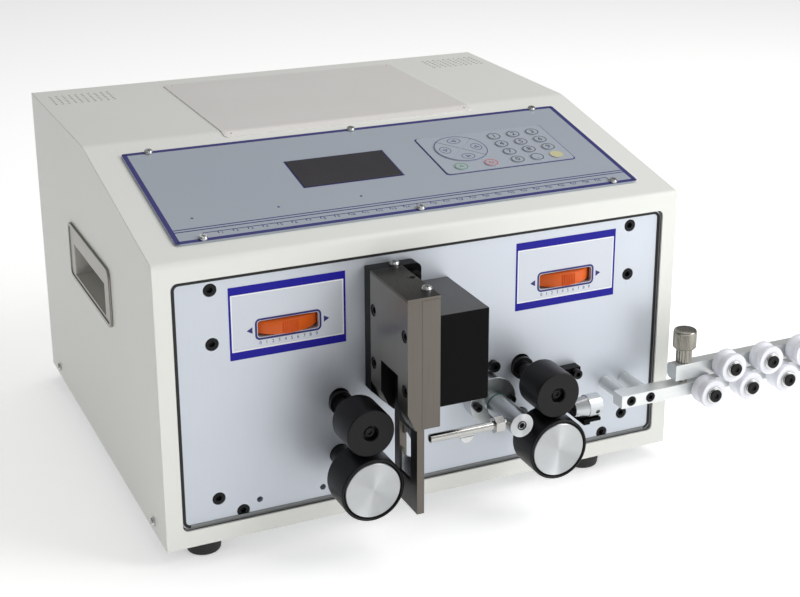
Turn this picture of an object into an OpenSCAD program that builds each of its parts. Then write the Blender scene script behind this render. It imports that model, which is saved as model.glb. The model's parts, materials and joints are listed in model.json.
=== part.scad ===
// Bench machine that feeds wire through two pairs of rollers, cuts it and strips its ends
// Origin on the bench under the middle of the machine, X to the right, Y to the back, Z up

/* [Case] */
// Width of the case
case_w = 385; // [375:1:420]
// Depth of the case
case_d = 342; // [335:1:390]
// Height of the case at the rear, without its feet
case_h = 232; // [228:1:250]
// Height of the case at the front, without its feet
front_h = 199; // [197:1:210]
// Depth of the sloped face that carries the controls
slope_run = 171; // [168:1:200]
// Thickness of the case sheet
sheet = 1.5; // [1:0.1:2]
// Outer radius of the folded edges
edge_r = 4; // [2.5:0.5:6]
// Height of the rubber feet
foot_h = 12; // [8:1:16]
// Diameter of the rubber feet at the top
foot_d = 26; // [20:1:30]
// Distance of the left feet from the middle
foot_left = 163; // [140:1:170]
// Distance of the right feet from the middle
foot_right = 131; // [120:1:165]
// Distance of the feet from the front and rear walls
foot_inset = 17; // [15:1:30]

/* [Carry handles] */
// Length of the handle flange
handle_len = 121; // [110:1:140]
// Height of the handle flange
handle_h = 43; // [38:1:50]
// Depth of the finger cup
cup_depth = 22; // [16:1:28]
// Height of the flange centre above the case floor
handle_z = 138; // [125:1:150]
// Thickness of the pressed handle sheet
handle_t = 1.2; // [0.8:0.1:1.6]

/* [Control panel] */
// Width of the panel plate on the slope
panel_w = 342; // [335:1:360]
// Height of the panel plate along the slope
panel_h = 132.7; // [130:0.1:140]
// Distance from the front edge to the panel
panel_s = 20; // [14:1:24]
// Thickness of the panel plate
panel_t = 1.5; // [1:0.1:2.5]
// Width of the display
display_w = 73.5; // [60:0.5:80]
// Height of the display
display_h = 39.5; // [34:0.5:44]
// Width of the key field
keys_w = 103.3; // [100:0.1:108]
// Height of the key field
keys_h = 58.3; // [57:0.1:64]
// Diameter of one round key
key_d = 10.5; // [9:0.5:12]

/* [Top plate] */
// Width of the plain sign plate on the top
sign_w = 198; // [180:1:220]
// Reach of the plain sign plate behind the bend
sign_back = 151; // [120:1:155]
// Reach of the plain sign plate down the slope
sign_front = 11.6; // [6:0.1:16]
// Distance of its middle to the right of the case's middle
sign_x = 7; // [-10:1:10]
// Thickness of the plain sign plate
sign_t = 0.8; // [0.5:0.1:1.5]

/* [Front plate] */
// Thickness of the front plate
plate_t = 10; // [9:0.5:12]
// Depth of the plate face behind the case front
plate_recess = 3; // [2:0.5:5]
// Width of the case rim beside the plate opening
rim_side = 11.5; // [10:0.5:14]
// Height of the case rim over the plate opening
rim_top = 13; // [12:0.5:15]
// Height of the case rim under the plate opening
rim_low = 12; // [10:0.5:13]
// Gap between the plate and its opening
plate_gap = 1; // [0.5:0.1:2]

/* [Feed rollers] */
// Height of the wire above the bench
wire_z = 78.8; // [77:0.1:80]
// Distance of the wire in front of the plate
wire_l = 46; // [44:0.5:48]
// Distance of each roller pair from the middle
feed_x = 69; // [67:0.5:70]
// Radius of the driven rollers
drive_r = 22; // [20:0.5:22.5]
// Radius of the pressure rollers
press_r = 16.5; // [15:0.5:17]
// Length of every feed roller
roller_len = 27; // [24:0.5:28]
// Gap between the rollers with the dials closed
nip_gap = 1; // [0.5:0.1:1.5]
// Lift of the pressure rollers with the dials open
gap_travel = 2; // [1:0.1:2.2]
// Diameter of the roller shafts
shaft_d = 10; // [8:0.5:11]
// Diameter of the shaft shoulder behind each roller
hub_d = 14; // [12.5:0.5:15]
// Teeth of each drive gear
drive_teeth = 33; // [29:1:35]

/* [Gap dials] */
// Radius of the thumb wheels
dial_r = 30; // [28:0.5:32]
// Thickness of the thumb wheels
dial_t = 9.5; // [8:0.5:10]
// Distance of each dial from the middle
dial_x = 103.5; // [102:0.5:106]
// Height of the dials above the bench
dial_z = 157.2; // [156:0.1:160]
// Diameter of the dial spindles
spindle_d = 8; // [6:0.5:9]

/* [Cutter] */
// Left face of the cutter column, from the middle
cutter_left = -50; // [-52:0.5:-49]
// Thickness of the left guide plate
left_plate_t = 10; // [9:0.5:11]
// Thickness of the right guide plate
right_plate_t = 13; // [11:0.5:13]
// Drop from the top of the plate opening to the top of the column
cutter_drop = 8; // [5:1:12]
// Reach of the column in front of the plate
cutter_reach = 70; // [70:0.5:74]
// Thickness of the blade holders
holder_t = 5.2; // [4.5:0.1:6]
// Travel of each blade
blade_travel = 8.5; // [6:0.5:9]
// Thickness of the blades
blade_t = 1.6; // [1.2:0.1:1.8]
// Teeth of the cutter pinion
pinion_teeth = 14; // [13:1:14]

/* [Guide arm] */
// Distance of the guide arm from the middle
guide_x = 41.5; // [40:0.5:42]
// Diameter of the guide arm
guide_d = 17; // [15:0.5:17.5]
// Diameter of the guide arm flange
flange_d = 35.6; // [34:0.2:37]
// Outer diameter of the guide tube
tube_d = 6; // [5:0.2:7]
// Bore of the wire guides
wire_bore = 4.2; // [3:0.2:4.6]
// Left end of the guide tube, from the middle
tube_end = -23.5; // [-24:0.5:-15]

/* [Straightener] */
// Radius of the straightener rollers
straight_r = 10.75; // [9.5:0.25:11]
// Depth of the wire groove
groove_depth = 1.95; // [1:0.05:2.5]
// Width of the straightener rollers
straight_w = 14; // [11:0.5:15]
// Distance between rollers in a row
straight_pitch = 33; // [32:0.5:36]
// Distance of the first lower roller from the middle
straight_x = 200; // [198:0.5:206]
// Height of the fixed bar
bar_h = 9.6; // [9:0.2:11]
// Height of the moving bar
upper_bar_h = 12; // [11:0.2:13]
// Thickness of both bars
bar_t = 12; // [10:0.5:14]
// Diameter of the knurled screw heads
knob_d = 17; // [14:0.5:18]

/* [Hidden] */
$fn = 48;

// Clearances on each side: a shaft in its bore, a running gap, a seated piece
fit = 0.1;
run = 0.3;
seat = 0.2;
// How far a cut runs past the face that it opens
past = 1;
sides = [-1, 1];

// Colours
paint = "#e4e3dc";
steel = "#b9bcc0";
dark_steel = "#6d675f";
black = "#26262a";
brushed = "#a9b1ba";
orange = "#e8782a";

// Planes of the case
y_front = -case_d / 2;
y_rear = case_d / 2;
z_floor = foot_h;
z_front = foot_h + front_h;
z_top = foot_h + case_h;
y_bend = y_front + slope_run;
slope = atan2(z_top - z_front, slope_run);
inner_x = case_w / 2 - sheet;
tray_x = inner_x - seat;
tray_y = y_rear - sheet - seat;
bend_r = 40;

// Front plate and its opening
y_plate = y_front + plate_recess;
y_back = y_plate + plate_t;
open_x = case_w / 2 - rim_side;
open_z0 = z_floor + rim_low;
open_z1 = z_front - rim_top;
plate_x = open_x - plate_gap;
plate_z0 = open_z0 + plate_gap;
plate_z1 = open_z1 - plate_gap;

// Uprights of the tray, and the sunk screws that hold the plate to them
upright_w = 20;
upright_t = 12;
upright_inset = 24.9;
dial_clear = 1.6;
upright_x = max(plate_x - upright_inset, dial_x + dial_r + dial_clear + upright_w / 2);
gusset_w = 26;
gusset_h = rim_low + 12;
plate_screw_d = 6;
plate_head_d = 8;
plate_head_h = 5;
plate_head_play = 0.5;
head_sink = 0.5;
screw_inset = 7.8;
screw_step = 37;
low_screw_up = 17;
edge_screw_up = 4.5;
edge_screw_in = 16.4;
plate_screws = [
    [upright_x, plate_z1 - screw_inset], [upright_x, plate_z1 - screw_inset - screw_step],
    [upright_x, plate_z0 + low_screw_up], [upright_x - edge_screw_in, plate_z0 + edge_screw_up]
];

// Small cross head screws of the case, and the feet
small_screw_d = 3;
small_head_d = 6.4;
small_head_h = 2.2;
small_hole_d = small_screw_d + 2 * fit;
screw_grip = 3;
rear_screw_x = inner_x - 8;
rear_screws = [for (x = [-rear_screw_x, rear_screw_x], z = [z_floor + 20, z_top - 20]) [x, z]];
side_screw_inset = 30;
side_screw_ys = [y_front + side_screw_inset, y_rear - side_screw_inset];
side_screw_z = z_floor + 8;
foot_ys = [y_front + foot_inset, y_rear - foot_inset];
foot_places = [for (x = [-foot_left, foot_right], y = foot_ys) [x, y]];
tray_lip_h = 16;
tray_rear_h = 26;

// Vent holes at the rear corners of the top, and slots in the rear panel
vent_d = 2.8;
vent_step = 5;
vent_cols = 10;
vent_rows = 6;
vent_x = inner_x - 8;
vent_y = y_rear - 20;
slot_w = 4;
slot_h = 50;
slot_down = 55;
slot_z = z_top - slot_down;
slot_step = 9;
slot_count = 13;
slot_x = 32;

// Plain sign plate folded over the bend, with a hole at each corner
sign_drop = sign_front * sin(slope);
sign_corner = 3;
sign_hole_inset = 5;
sign_hole_d = 3;

// Handle cups in the case sides
cup_len = handle_len - 28;
cup_h = handle_h - 17;
handle_mid = z_floor + handle_z;
cup_mid = handle_mid - 4.5;
handle_corner = 6;

// Display, keys and screws on the slope, placed across and up the slope
lcd_x = -28.3;
lcd_up = 72.5;
lcd_s = panel_s + lcd_up;
lcd_lip = 4;
keys_x = 91.2;
keys_up = 73.3;
keys_s = panel_s + keys_up;
key_step = [16.1, 13.1];
key_first = [keys_x + 8.3, keys_s - 21];
key_cols = [for (i = [0 : 2]) key_first[0] + i * key_step[0]];
key_rows = [for (i = [0 : 3]) key_first[1] + i * key_step[1]];
membrane_t = 0.6;
key_rise = 0.6;
pad_x = keys_x - 25.3;
pad_s = keys_s + 5.4;
pad_r = 20;
pad_groove = 1;
pad_keys = [pad_x - 12, pad_x + 12];
panel_screw_x = panel_w / 2 - 19.2;
panel_screw_ss = [panel_s + 3.5, panel_s + panel_h - 2.4];
panel_screws = [for (x = [-panel_screw_x, 0, panel_screw_x], s = panel_screw_ss) [x, s]];
board_drop = 12;
board_t = 1.6;
board_x0 = lcd_x - display_w / 2 - 12;
board_x1 = keys_x + keys_w / 2;
board_up = 35;
board_h = 75;
board_s0 = panel_s + board_up;
board_s1 = board_s0 + board_h;
board_gap = board_drop - board_t - sheet - seat;
board_post_d = 6;
chip_size = [11, 14, 6];

// Power module on the rear: inlet below, rocker switch above
module_x = -120;
module_up = 70;
module_z = z_floor + module_up;
module_w = 30;
module_h = 50;
module_t = 2.2;
module_lip = 3;
module_depth = 24;
socket_w = 22;
socket_h = 16;
socket_depth = 17;
socket_z = module_z - 11;
contact = [2, 14, 4];
rocker_w = 13;
rocker_h = 19;
rocker_z = module_z + 11.5;
rocker_tilt = 8;
rocker_depth = 6;
rocker_pocket = 9;
rocker_pivot = 1.2;
rocker_lip = 2.2;
rocker_reach = rocker_h / 2 - 1.4;

// Transformer and driver board on the tray
core_x = 40;
core_y = 70;
core = [84, 40, 70];
winding = [54, 58, 42];
core_ear = [12, 28, 2];
driver_x = -110;
driver_y = 25;
driver = [100, 90, 1.6];
driver_post_h = 8;
heat_sink = [60, 18, 30];
can_d = 22;
can_h = 26;
can_x = 22;
can_y = 60;
can_step = 28;

// Feed shafts and gears, which mesh with the dials closed
gear_teeth = 60;
drive_z = wire_z - nip_gap / 2 - drive_r;
press_z = wire_z + nip_gap / 2 + press_r;
press_teeth = gear_teeth - drive_teeth;
gear_module = 2 * (press_z - drive_z) / gear_teeth;
gear_slack = 0.5;
drive_front = wire_l + 12;
press_front = wire_l + 9;
cap_t = 2;
cap_inset = 2;
hub_end = y_back - run;
hub_hole_d = hub_d + 1;
hub_collar = 2.6;
hub_collar_l0 = 1;
hub_collar_l1 = hub_collar_l0 + 3.6;
neck_wall = 1;
block_t = 19.6;
block_x = hub_d / 2 + 11;
block_z0 = drive_z - 28;
rail_t = 3.7;
gear_y = y_back + 23;
gear_w = 8;
gear_end = gear_y + gear_w;
motor_back = 36;
motor_y = y_back + motor_back;
motor_w = 56.4;
motor_len = 76;
motor_end_t = 9;
motor_waist = 2;
motor_bolt = 23.57;
motor_shaft_d = 6.35;
motor_shaft_len = 20;
post_d = 8;
post_corners = [[1, 1], [1, -1], [-1, -1]];

// Pressure slides, their springs and the dials that lift them
slide_x = block_x - rail_t - run;
slide_z0 = press_z - 13.8;
slide_z1 = press_z + gear_module * (press_teeth / 2 + 1) + 12.2;
arm_h = 10;
arm_z0 = slide_z1 - arm_h;
arm_end = gear_end + 1;
spring_len = 18;
spring_d = 12;
spring_wire = 1.6;
spring_turns = 5;
spring_y = y_back + 10;
cap_z0 = slide_z1 + spring_len;
spring_cap_t = 6;
dial_y = y_plate + dial_r - 4;
dial_slot_w = 42;
dial_slot_h = dial_t + 1.8;
dial_z0 = dial_z - dial_t / 2;
dial_edge = 1;
lug_gap = run + seat;
lug_low_z1 = dial_z0 - lug_gap;
lug_top_z0 = dial_z0 + dial_t + lug_gap;
lug_t = 7.6;
lug_depth = 24;
nut_w = 17;
spindle_hole_d = spindle_d + 2 * fit;

// Cutter column, in distances L in front of the plate
cutter_top = open_z1 - cutter_drop;
seam_x = cutter_left + left_plate_t;
cutter_right = seam_x + right_plate_t;
base_l = 10;
top_cap_h = 2;
plates_z0 = wire_z + 20.2;
plates_z1 = cutter_top - top_cap_h;
window_l0 = wire_l - 19;
window_l1 = wire_l + 8.5;
window_h = 54.2;
window_z1 = wire_z + window_h;
base_chamfer = 16.4;
base_drop = 12;
base_z0 = plates_z0 - base_drop;
foot_cut_w = 5.5;
foot_cut_h = 12.3;
holder_x0 = seam_x - holder_t / 2;
holder_x1 = seam_x + holder_t / 2;
upper_l0 = wire_l - 5;
upper_l1 = wire_l + 11;
lower_l0 = wire_l - 14;
lower_l1 = wire_l + 22;
strip_back = upper_l0 - 1;
strip_front = upper_l1 + 1;
channel_x = holder_t / 2 + run;
channel_z1 = cutter_top - 18;
blade_notch = 4;
blade_seat = 11;
upper_edge = wire_z + blade_travel;
lower_edge = wire_z - blade_travel;
upper_holder_z0 = upper_edge + 6.4;
lower_bar_z1 = lower_edge - 13;
lower_bar_z0 = lower_bar_z1 - 19.8;
clamp_sink = 0.6;
clamp_depth = 4.6;
clamp_head_d = 8.2;
clamp_hole_d = 8.5;
clamp_ls = [base_l + 5, cutter_reach - 5];
clamp_drop = 26.3;
clamp_step = 37.5;
clamp_zs = [cutter_top - clamp_drop, cutter_top - clamp_drop - clamp_step];
clamp_places = [for (l = clamp_ls, z = clamp_zs) [l, z]];
cap_screw_d = 4;
cap_head_d = 7;
cap_hole_d = cap_screw_d + 2 * fit;
cap_screw_len = top_cap_h + 8;
cap_screw_x = cutter_right - 4;
cap_screw_ls = [base_l - 4, wire_l + 11];
pin_hole_d = 5;
pin_hole_l = wire_l - 13;

// Cutter pinion, the two racks that it drives and their cover
pinion_module = 1.5;
rack_pitch = PI * pinion_module;
rack_back = 4;
rack_root = 1.25 * pinion_module;
pinion_r = pinion_module * pinion_teeth / 2;
pinion_x = cutter_right + 8.5 + pinion_r;
pinion_drop = 45;
pinion_z = cutter_top - pinion_drop;
pinion_l0 = lower_l0 - 1;
pinion_l1 = upper_l1 - 2;
pinion_shaft_d = 8;
rack_l0 = wire_l - 2;
rack_l1 = wire_l + 8;
rack_reach = blade_travel + 6;
lower_arm_z1 = pinion_z - pinion_r - pinion_module - blade_travel - 3;
lower_arm_z0 = lower_arm_z1 - 10;
upper_arm_z0 = pinion_z - 5;
upper_arm_z1 = pinion_z + 7;
upper_holder_z1 = upper_arm_z1 + 12;
cover_t = 1.2;
cover_x1 = pinion_x + pinion_r + 8.5;
cover_z0 = lower_arm_z0 - 2.5;
cover_z1 = pinion_z + 28;
cover_l1 = cutter_reach - 7;
tab_x = cutter_right + 14;
tab_z0 = cover_z1 + 1;
tab_corner = 4;
tab_screw = [cutter_right + 7.5, (tab_z0 + cutter_top) / 2];

// Guide arm with its flange, and the inlet nozzle
flange_l = 12;
flange_bolt_r = 13.2;
flange_head_d = 6;
flange_head_h = 4;
flange_screw_d = 3.5;
flange_bolts = [for (a = [0, 186, 276])
    [guide_x + flange_bolt_r * cos(a), wire_z + flange_bolt_r * sin(a)]];
guide_end = wire_l + guide_d / 2;
guide_shaft_d = 12;
guide_neck_l = 8;
guide_collar_l = 8;
tube_tail = guide_x + guide_d / 2 + 1;
collar_x0 = guide_x - guide_d / 2 - 9;
collar_w = 7;
inlet_x0 = feed_x + press_r + 0.5;
inlet_x1 = inlet_x0 + 20;
inlet_tip_d = 11;
inlet_d = 15;
inlet_collar_d = 16;
inlet_collar_x = inlet_x1 - 10;
inlet_foot_l = 8;
inlet_arm_l = wire_l + 5;
inlet_arm_x = feed_x + drive_r + 1.5;
inlet_arm_w = 5;
inlet_arm_h = 4;
inlet_seat_l = wire_l - 8;
inlet_seat_t = 2.4;
inlet_seat_z = wire_z - inlet_collar_d / 2 - fit;
inlet_lug_h = 7.6;
inlet_lug_x1 = inlet_x1 + 8;
inlet_lug_z1 = wire_z + 11.4;
inlet_screw_d = 4;
inlet_head_d = 7;
inlet_head_h = 4.5;
inlet_screw_x = inlet_lug_x1 - 4.4;
inlet_screw_z = inlet_lug_z1 - inlet_lug_h / 2;
set_screw_d = 3.2;
set_screw_x = 4.2;
set_screw_low = 2.2;

// Lone screw, slotted plug and plain holes of the front plate
spare_screw = [guide_x + 5, wire_z + flange_d / 2 + plate_head_d / 2 + 0.4];
plug_x = 26.7;
plug_z = wire_z - 28.9;
plug_d = 10;
plug_t = 1.2;
plug_slot = 1.4;
plug_shank_d = 5;
spare_hole_d = 4.2;
spare_holes = [[-127, plate_z0 + 10], [-82, plate_z0 + 9]];

// Straightener: a lower row on the fixed bar and an upper row on the moving bar
groove_r = straight_r - groove_depth;
groove_half = 3;
groove_floor = 0.6;
roller_edge = 0.6;
lower_z = wire_z - groove_r;
upper_z = wire_z + groove_r;
bar_l1 = wire_l - straight_w / 2 - 2.2;
bar_l0 = bar_l1 - bar_t;
bar_z0 = lower_z - bar_h / 2;
bar_z1 = lower_z + bar_h / 2;
lower_count = 4;
upper_count = 3;
lower_xs = [for (i = [0 : lower_count - 1]) straight_x + i * straight_pitch];
upper_xs = [for (i = [0 : upper_count - 1]) straight_x + (i + 0.5) * straight_pitch];
bar_lead = 68;
bar_tail = 26;
bar_x0 = straight_x - bar_lead;
bar_x1 = lower_xs[lower_count - 1] + bar_tail;
upper_lead = 23;
upper_x0 = straight_x - upper_lead;
upper_x1 = bar_x1 - 4;
upper_bar_drop = 3.3;
upper_bar_z0 = upper_z - upper_bar_drop - upper_bar_h / 2;
upper_bar_z1 = upper_bar_z0 + upper_bar_h;
upper_bar_round = 4;
straight_post_d = 10;
post_xs = [bar_x0 + 8, bar_x0 + 24];
bar_screw_d = 5;
bar_head_d = 8.5;
bar_head_h = 5;
bar_screw_grip = 8;
post_screw_d = 4;
post_head_d = 7;
post_head_h = 4;
head_play = 0.3;
axle_d = 5;
axle_seat = 8;
spacer_d = 9;
washer_d = 12.6;
washer_t = 1;
axle_head_d = 9.5;
axle_head_h = 1.6;
knob_xs = [upper_x0 + 10, upper_x1 - 10];
knob_l = (bar_l0 + bar_l1) / 2;
screw_d = 6;
neck_d = 11.6;
neck_h = 10.6;
knob_h = 14;
knob_edge = 1;
clip_d = 10;
clip_t = 1.5;
hex_key = 4.6;

// Reach of the machine from the middle of its case, which puts the origin under the whole machine
reach_left = case_w / 2 + small_head_h;
reach_right = bar_x1;
reach_front = cutter_reach - y_plate;
reach_rear = y_rear + rocker_pivot + rocker_lip * cos(rocker_tilt) + rocker_reach * sin(rocker_tilt);
middle_x = (reach_right - reach_left) / 2;
middle_y = (reach_rear - reach_front) / 2;

// Corner points of a polygon with every corner rounded by an arc
function unit(v) = v / norm(v);
function arc_corner(a, b, c, r, steps = 6) =
    let (u = unit(a - b), w = unit(c - b), half = acos(u * w) / 2)
    let (mid = b + unit(u + w) * r / sin(half))
    let (p = b + u * r / tan(half) - mid, q = b + w * r / tan(half) - mid)
    let (start = atan2(p[1], p[0]), turn = atan2(q[1], q[0]) - start)
    let (sweep = turn > 180 ? turn - 360 : turn < -180 ? turn + 360 : turn)
    [for (i = [0 : steps]) let (a = start + sweep * i / steps) mid + r * [cos(a), sin(a)]];
function rounded(points, r) =
    let (n = len(points))
    [for (i = [0 : n - 1])
        each arc_corner(points[(i + n - 1) % n], points[i], points[(i + 1) % n], r)];
function rectangle(x0, y0, x1, y1) = [[x0, y0], [x1, y0], [x1, y1], [x0, y1]];
function centred(x, y, w, h) = rectangle(x - w / 2, y - h / 2, x + w / 2, y + h / 2);

// Involute outline of a gear, with its first tooth along +X
function involute(a) = tan(a) * 180 / PI - a;
function half_tooth(r, pitch_r, base_r, teeth, slack) =
    90 / teeth - slack / 2 / pitch_r * 180 / PI + involute(20) - involute(acos(base_r / r));
function polar(r, a) = r * [cos(a), sin(a)];
function gear_points(module_mm, teeth, slack, steps = 4) =
    let (pitch_r = module_mm * teeth / 2, base_r = pitch_r * cos(20))
    let (root = pitch_r - 1.25 * module_mm, tip = pitch_r + module_mm)
    let (low = max(base_r, root) + 0.01)
    let (flank = [for (i = [0 : steps]) low + (tip - low) * i / steps])
    let (halves = [for (r = flank) half_tooth(r, pitch_r, base_r, teeth, slack)])
    [for (t = [0 : teeth - 1]) let (mid = t * 360 / teeth)
        each concat(
            [polar(root, mid - halves[0])],
            [for (i = [0 : steps]) polar(flank[i], mid - halves[i])],
            [for (i = [steps : -1 : 0]) polar(flank[i], mid + halves[i])],
            [polar(root, mid + halves[0])]
        )];

// Outline of a rack: teeth along +X, travel along +Y, one tooth centred on y = 0
function rack_points(y0, y1, slack) =
    let (half = rack_pitch / 4 - slack / 2, lean = tan(20))
    let (wide = half + rack_root * lean, narrow = half - pinion_module * lean)
    let (first = ceil((y0 + rack_pitch / 2) / rack_pitch))
    let (last = floor((y1 - rack_pitch / 2) / rack_pitch))
    concat(
        [[-rack_root - rack_back, y0], [-rack_root, y0]],
        [for (k = [first : last]) let (y = k * rack_pitch) each [
            [-rack_root, y - wide], [pinion_module, y - narrow],
            [pinion_module, y + narrow], [-rack_root, y + wide]
        ]],
        [[-rack_root, y1], [-rack_root - rack_back, y1]]
    );

// Outline of the case from the side, inwards by a wall and stretched past its open sides
function case_outline(wall, over) =
    let (front_drop = wall / cos(slope) - wall * tan(slope), bend_shift = wall * tan(slope / 2))
    [[y_front + wall, z_floor - over], [y_rear + over, z_floor - over], [y_rear + over, z_top - wall],
     [y_bend + bend_shift, z_top - wall], [y_front + wall, z_front - front_drop]];

// The same outline with its two folded edges rounded
function case_profile(wall, over) =
    let (p = case_outline(wall, over))
    concat(
        [p[0], p[1], p[2]],
        arc_corner(p[2], p[3], p[4], bend_r - wall),
        arc_corner(p[3], p[4], p[0], edge_r - wall)
    );

// Moves the machine, drawn around the middle of its case, over the origin
module on_bench() {
    translate([-middle_x, -middle_y, 0]) children();
}

// A block between two corners
module box(low, high) {
    translate(low) cube(high - low);
}

// A block between two distances in front of the plate
module block_l(x0, x1, l0, l1, z0, z1) {
    box([x0, y_plate - l1, z0], [x1, y_plate - l0, z1]);
}

// A round bar along Y, from one place to a place nearer the front
module rod_y(x, z, y_from, y_to, d) {
    translate([x, y_from, z]) rotate([90, 0, 0]) cylinder(h = y_from - y_to, d = d);
}

// A round bar along Y, in distances in front of the plate
module rod_l(x, z, l0, l1, d) {
    rod_y(x, z, y_plate - l0, y_plate - l1, d);
}

// A round bar along X
module rod_x(x0, x1, y, z, d) {
    translate([x0, y, z]) rotate([0, 90, 0]) cylinder(h = x1 - x0, d = d);
}

// An upright round bar
module rod_z(x, y, z0, z1, d) {
    translate([x, y, z0]) cylinder(h = z1 - z0, d = d);
}

// A six-sided hole along Y, cut into a front face at y
module hex_y(x, y, z, depth, width) {
    translate([x, y + depth, z]) rotate([90, 0, 0]) cylinder(h = depth + past, d = width, $fn = 6);
}

// A round hole right through the front plate
module plate_hole(x, z, d) {
    rod_y(x, z, y_back + past, y_plate - past, d);
}

// A flat outline of X and Z, grown towards the back from a Y place
module slab_y(y, t) {
    translate([0, y + t, 0]) rotate([90, 0, 0]) linear_extrude(t) children();
}

// A flat outline of Y and Z, grown along X and centred
module along_x(width) {
    translate([-width / 2, 0, 0]) rotate([90, 0, 90]) linear_extrude(width) children();
}

// An outline drawn as seen from the front, grown towards the front from distance l0 to l1
module drawn_front(x, z, l0, l1) {
    translate([x, y_plate - l0, z]) rotate([90, 0, 0]) linear_extrude(l1 - l0) children();
}

// Places its children on the slope: X across, Y up the slope, Z off the face
module on_slope() {
    translate([0, y_front, z_front]) rotate([slope, 0, 0]) children();
}

// Mirrors its children to the left for side -1
module to_side(side) {
    mirror([side < 0 ? 1 : 0, 0, 0]) children();
}

// A socket head screw that points to the back, with its head resting at y
module socket_screw(x, y, z, head_d, head_h, shank_d, shank_len) {
    difference() {
        union() {
            rod_y(x, z, y, y - head_h, head_d);
            rod_y(x, z, y + shank_len, y, shank_d);
        }
        hex_y(x, y - head_h, z, head_h / 2, head_d * 0.55);
    }
}

// One of the large screws of the front plate
module plate_screw(x, y, z, shank_len) {
    socket_screw(x, y, z, plate_head_d, plate_head_h, plate_screw_d, shank_len);
}

// A domed cross head screw that stands on its own Z = 0 plane
module pan_screw(head_d, head_h, shank_d, shank_len) {
    cross_w = head_d * 0.12;
    cross_l = head_d * 0.56;
    difference() {
        rotate_extrude() polygon([
            [0, -shank_len], [shank_d / 2, -shank_len], [shank_d / 2, 0], [head_d / 2, 0],
            [head_d / 2, head_h * 0.45], [head_d * 0.4, head_h], [0, head_h]
        ]);
        for (turn = [0, 90])
            rotate([0, 0, turn]) translate([-cross_l / 2, -cross_w / 2, head_h * 0.45])
                cube([cross_l, cross_w, head_h]);
    }
}

module small_screw(grip) {
    pan_screw(small_head_d, small_head_h, small_screw_d, grip);
}

module case_shell() {
    color(paint) difference() {
        along_x(case_w) polygon(case_profile(0, 0));
        along_x(2 * inner_x) polygon(case_profile(sheet, past));
        slab_y(y_front - past, sheet + 2 * past)
            polygon(rounded(rectangle(-open_x, open_z0, open_x, open_z1), edge_r));
        for (side = sides) {
            translate([side * case_w / 2, 0, cup_mid])
                cube([4 * sheet, cup_len + 2 * seat, cup_h + 2 * seat], center = true);
            translate([side * case_w / 2, 0, 0]) for (y = side_screw_ys)
                rod_x(-2 * sheet, 2 * sheet, y, side_screw_z, small_hole_d);
            for (row = [0 : vent_rows - 1], col = [0 : vent_cols - 1])
                rod_z(side * (vent_x - col * vent_step), vent_y - row * vent_step,
                    z_top - 2 * sheet, z_top + past, vent_d);
        }
        on_slope() {
            translate([lcd_x, lcd_s, 0])
                cube([display_w - 2 * lcd_lip, display_h - 2 * lcd_lip, 6 * sheet], center = true);
            for (p = panel_screws) rod_z(p[0], p[1], -3 * sheet, 3 * sheet, small_hole_d);
        }
    }
}

module base_tray() {
    color(steel) difference() {
        union() {
            box([-tray_x, y_front + sheet + seat, z_floor], [tray_x, tray_y, z_floor + sheet]);
            box([-tray_x, tray_y - sheet, z_floor], [tray_x, tray_y, z_floor + tray_rear_h]);
            for (side = sides) to_side(side) {
                translate([upright_x - upright_w / 2, y_back, z_floor])
                    cube([upright_w, upright_t, plate_z1 - z_floor]);
                translate([upright_x - gusset_w, y_back, z_floor]) cube([gusset_w, upright_t, gusset_h]);
                box([tray_x - sheet, y_front + 20, z_floor], [tray_x, y_rear - 20, z_floor + tray_lip_h]);
            }
        }
        for (side = sides) to_side(side) {
            for (p = plate_screws)
                rod_y(p[0], p[1], y_back + upright_t + past, y_back - past, plate_screw_d + 2 * fit);
            for (y = side_screw_ys) rod_x(tray_x - 2 * sheet, tray_x + past, y, side_screw_z, small_hole_d);
            rod_y(rear_screw_x, rear_screws[0][1], y_rear, y_rear - 4 * sheet, small_hole_d);
        }
    }
}

module rear_panel() {
    color(paint) difference() {
        box([-tray_x, y_rear - sheet, z_floor + sheet + seat], [tray_x, y_rear, z_top - sheet - seat]);
        slab_y(y_rear - 2 * sheet, 3 * sheet)
            polygon(centred(module_x, module_z, module_w - 2 * module_lip, module_h - 2 * module_lip));
        for (p = rear_screws) rod_y(p[0], p[1], y_rear + past, y_rear - 2 * sheet, small_hole_d);
        for (i = [0 : slot_count - 1]) slab_y(y_rear - 2 * sheet, 3 * sheet)
            polygon(centred(slot_x + slot_step * (i - (slot_count - 1) / 2), slot_z, slot_w, slot_h));
    }
}

module top_plate() {
    down = [-cos(slope), -sin(slope)];
    rise = [-sin(slope), cos(slope)];
    half_w = sign_w / 2;
    front_y = sign_front * down[0];
    color(steel) translate([sign_x, y_bend, z_top]) difference() {
        intersection() {
            along_x(sign_w) polygon([
                [0, 0], sign_front * down, sign_front * down + sign_t * rise,
                [-sign_t * tan(slope / 2), sign_t], [sign_back, sign_t], [sign_back, 0]
            ]);
            translate([0, 0, -sign_drop - past]) linear_extrude(sign_drop + sign_t + 2 * past)
                polygon(rounded(rectangle(-half_w, front_y, half_w, sign_back), sign_corner));
        }
        for (x = sides, y = [front_y + sign_hole_inset, sign_back - sign_hole_inset])
            rod_z(x * (half_w - sign_hole_inset), y, -sign_drop - past, sign_t + past, sign_hole_d);
    }
}

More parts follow.
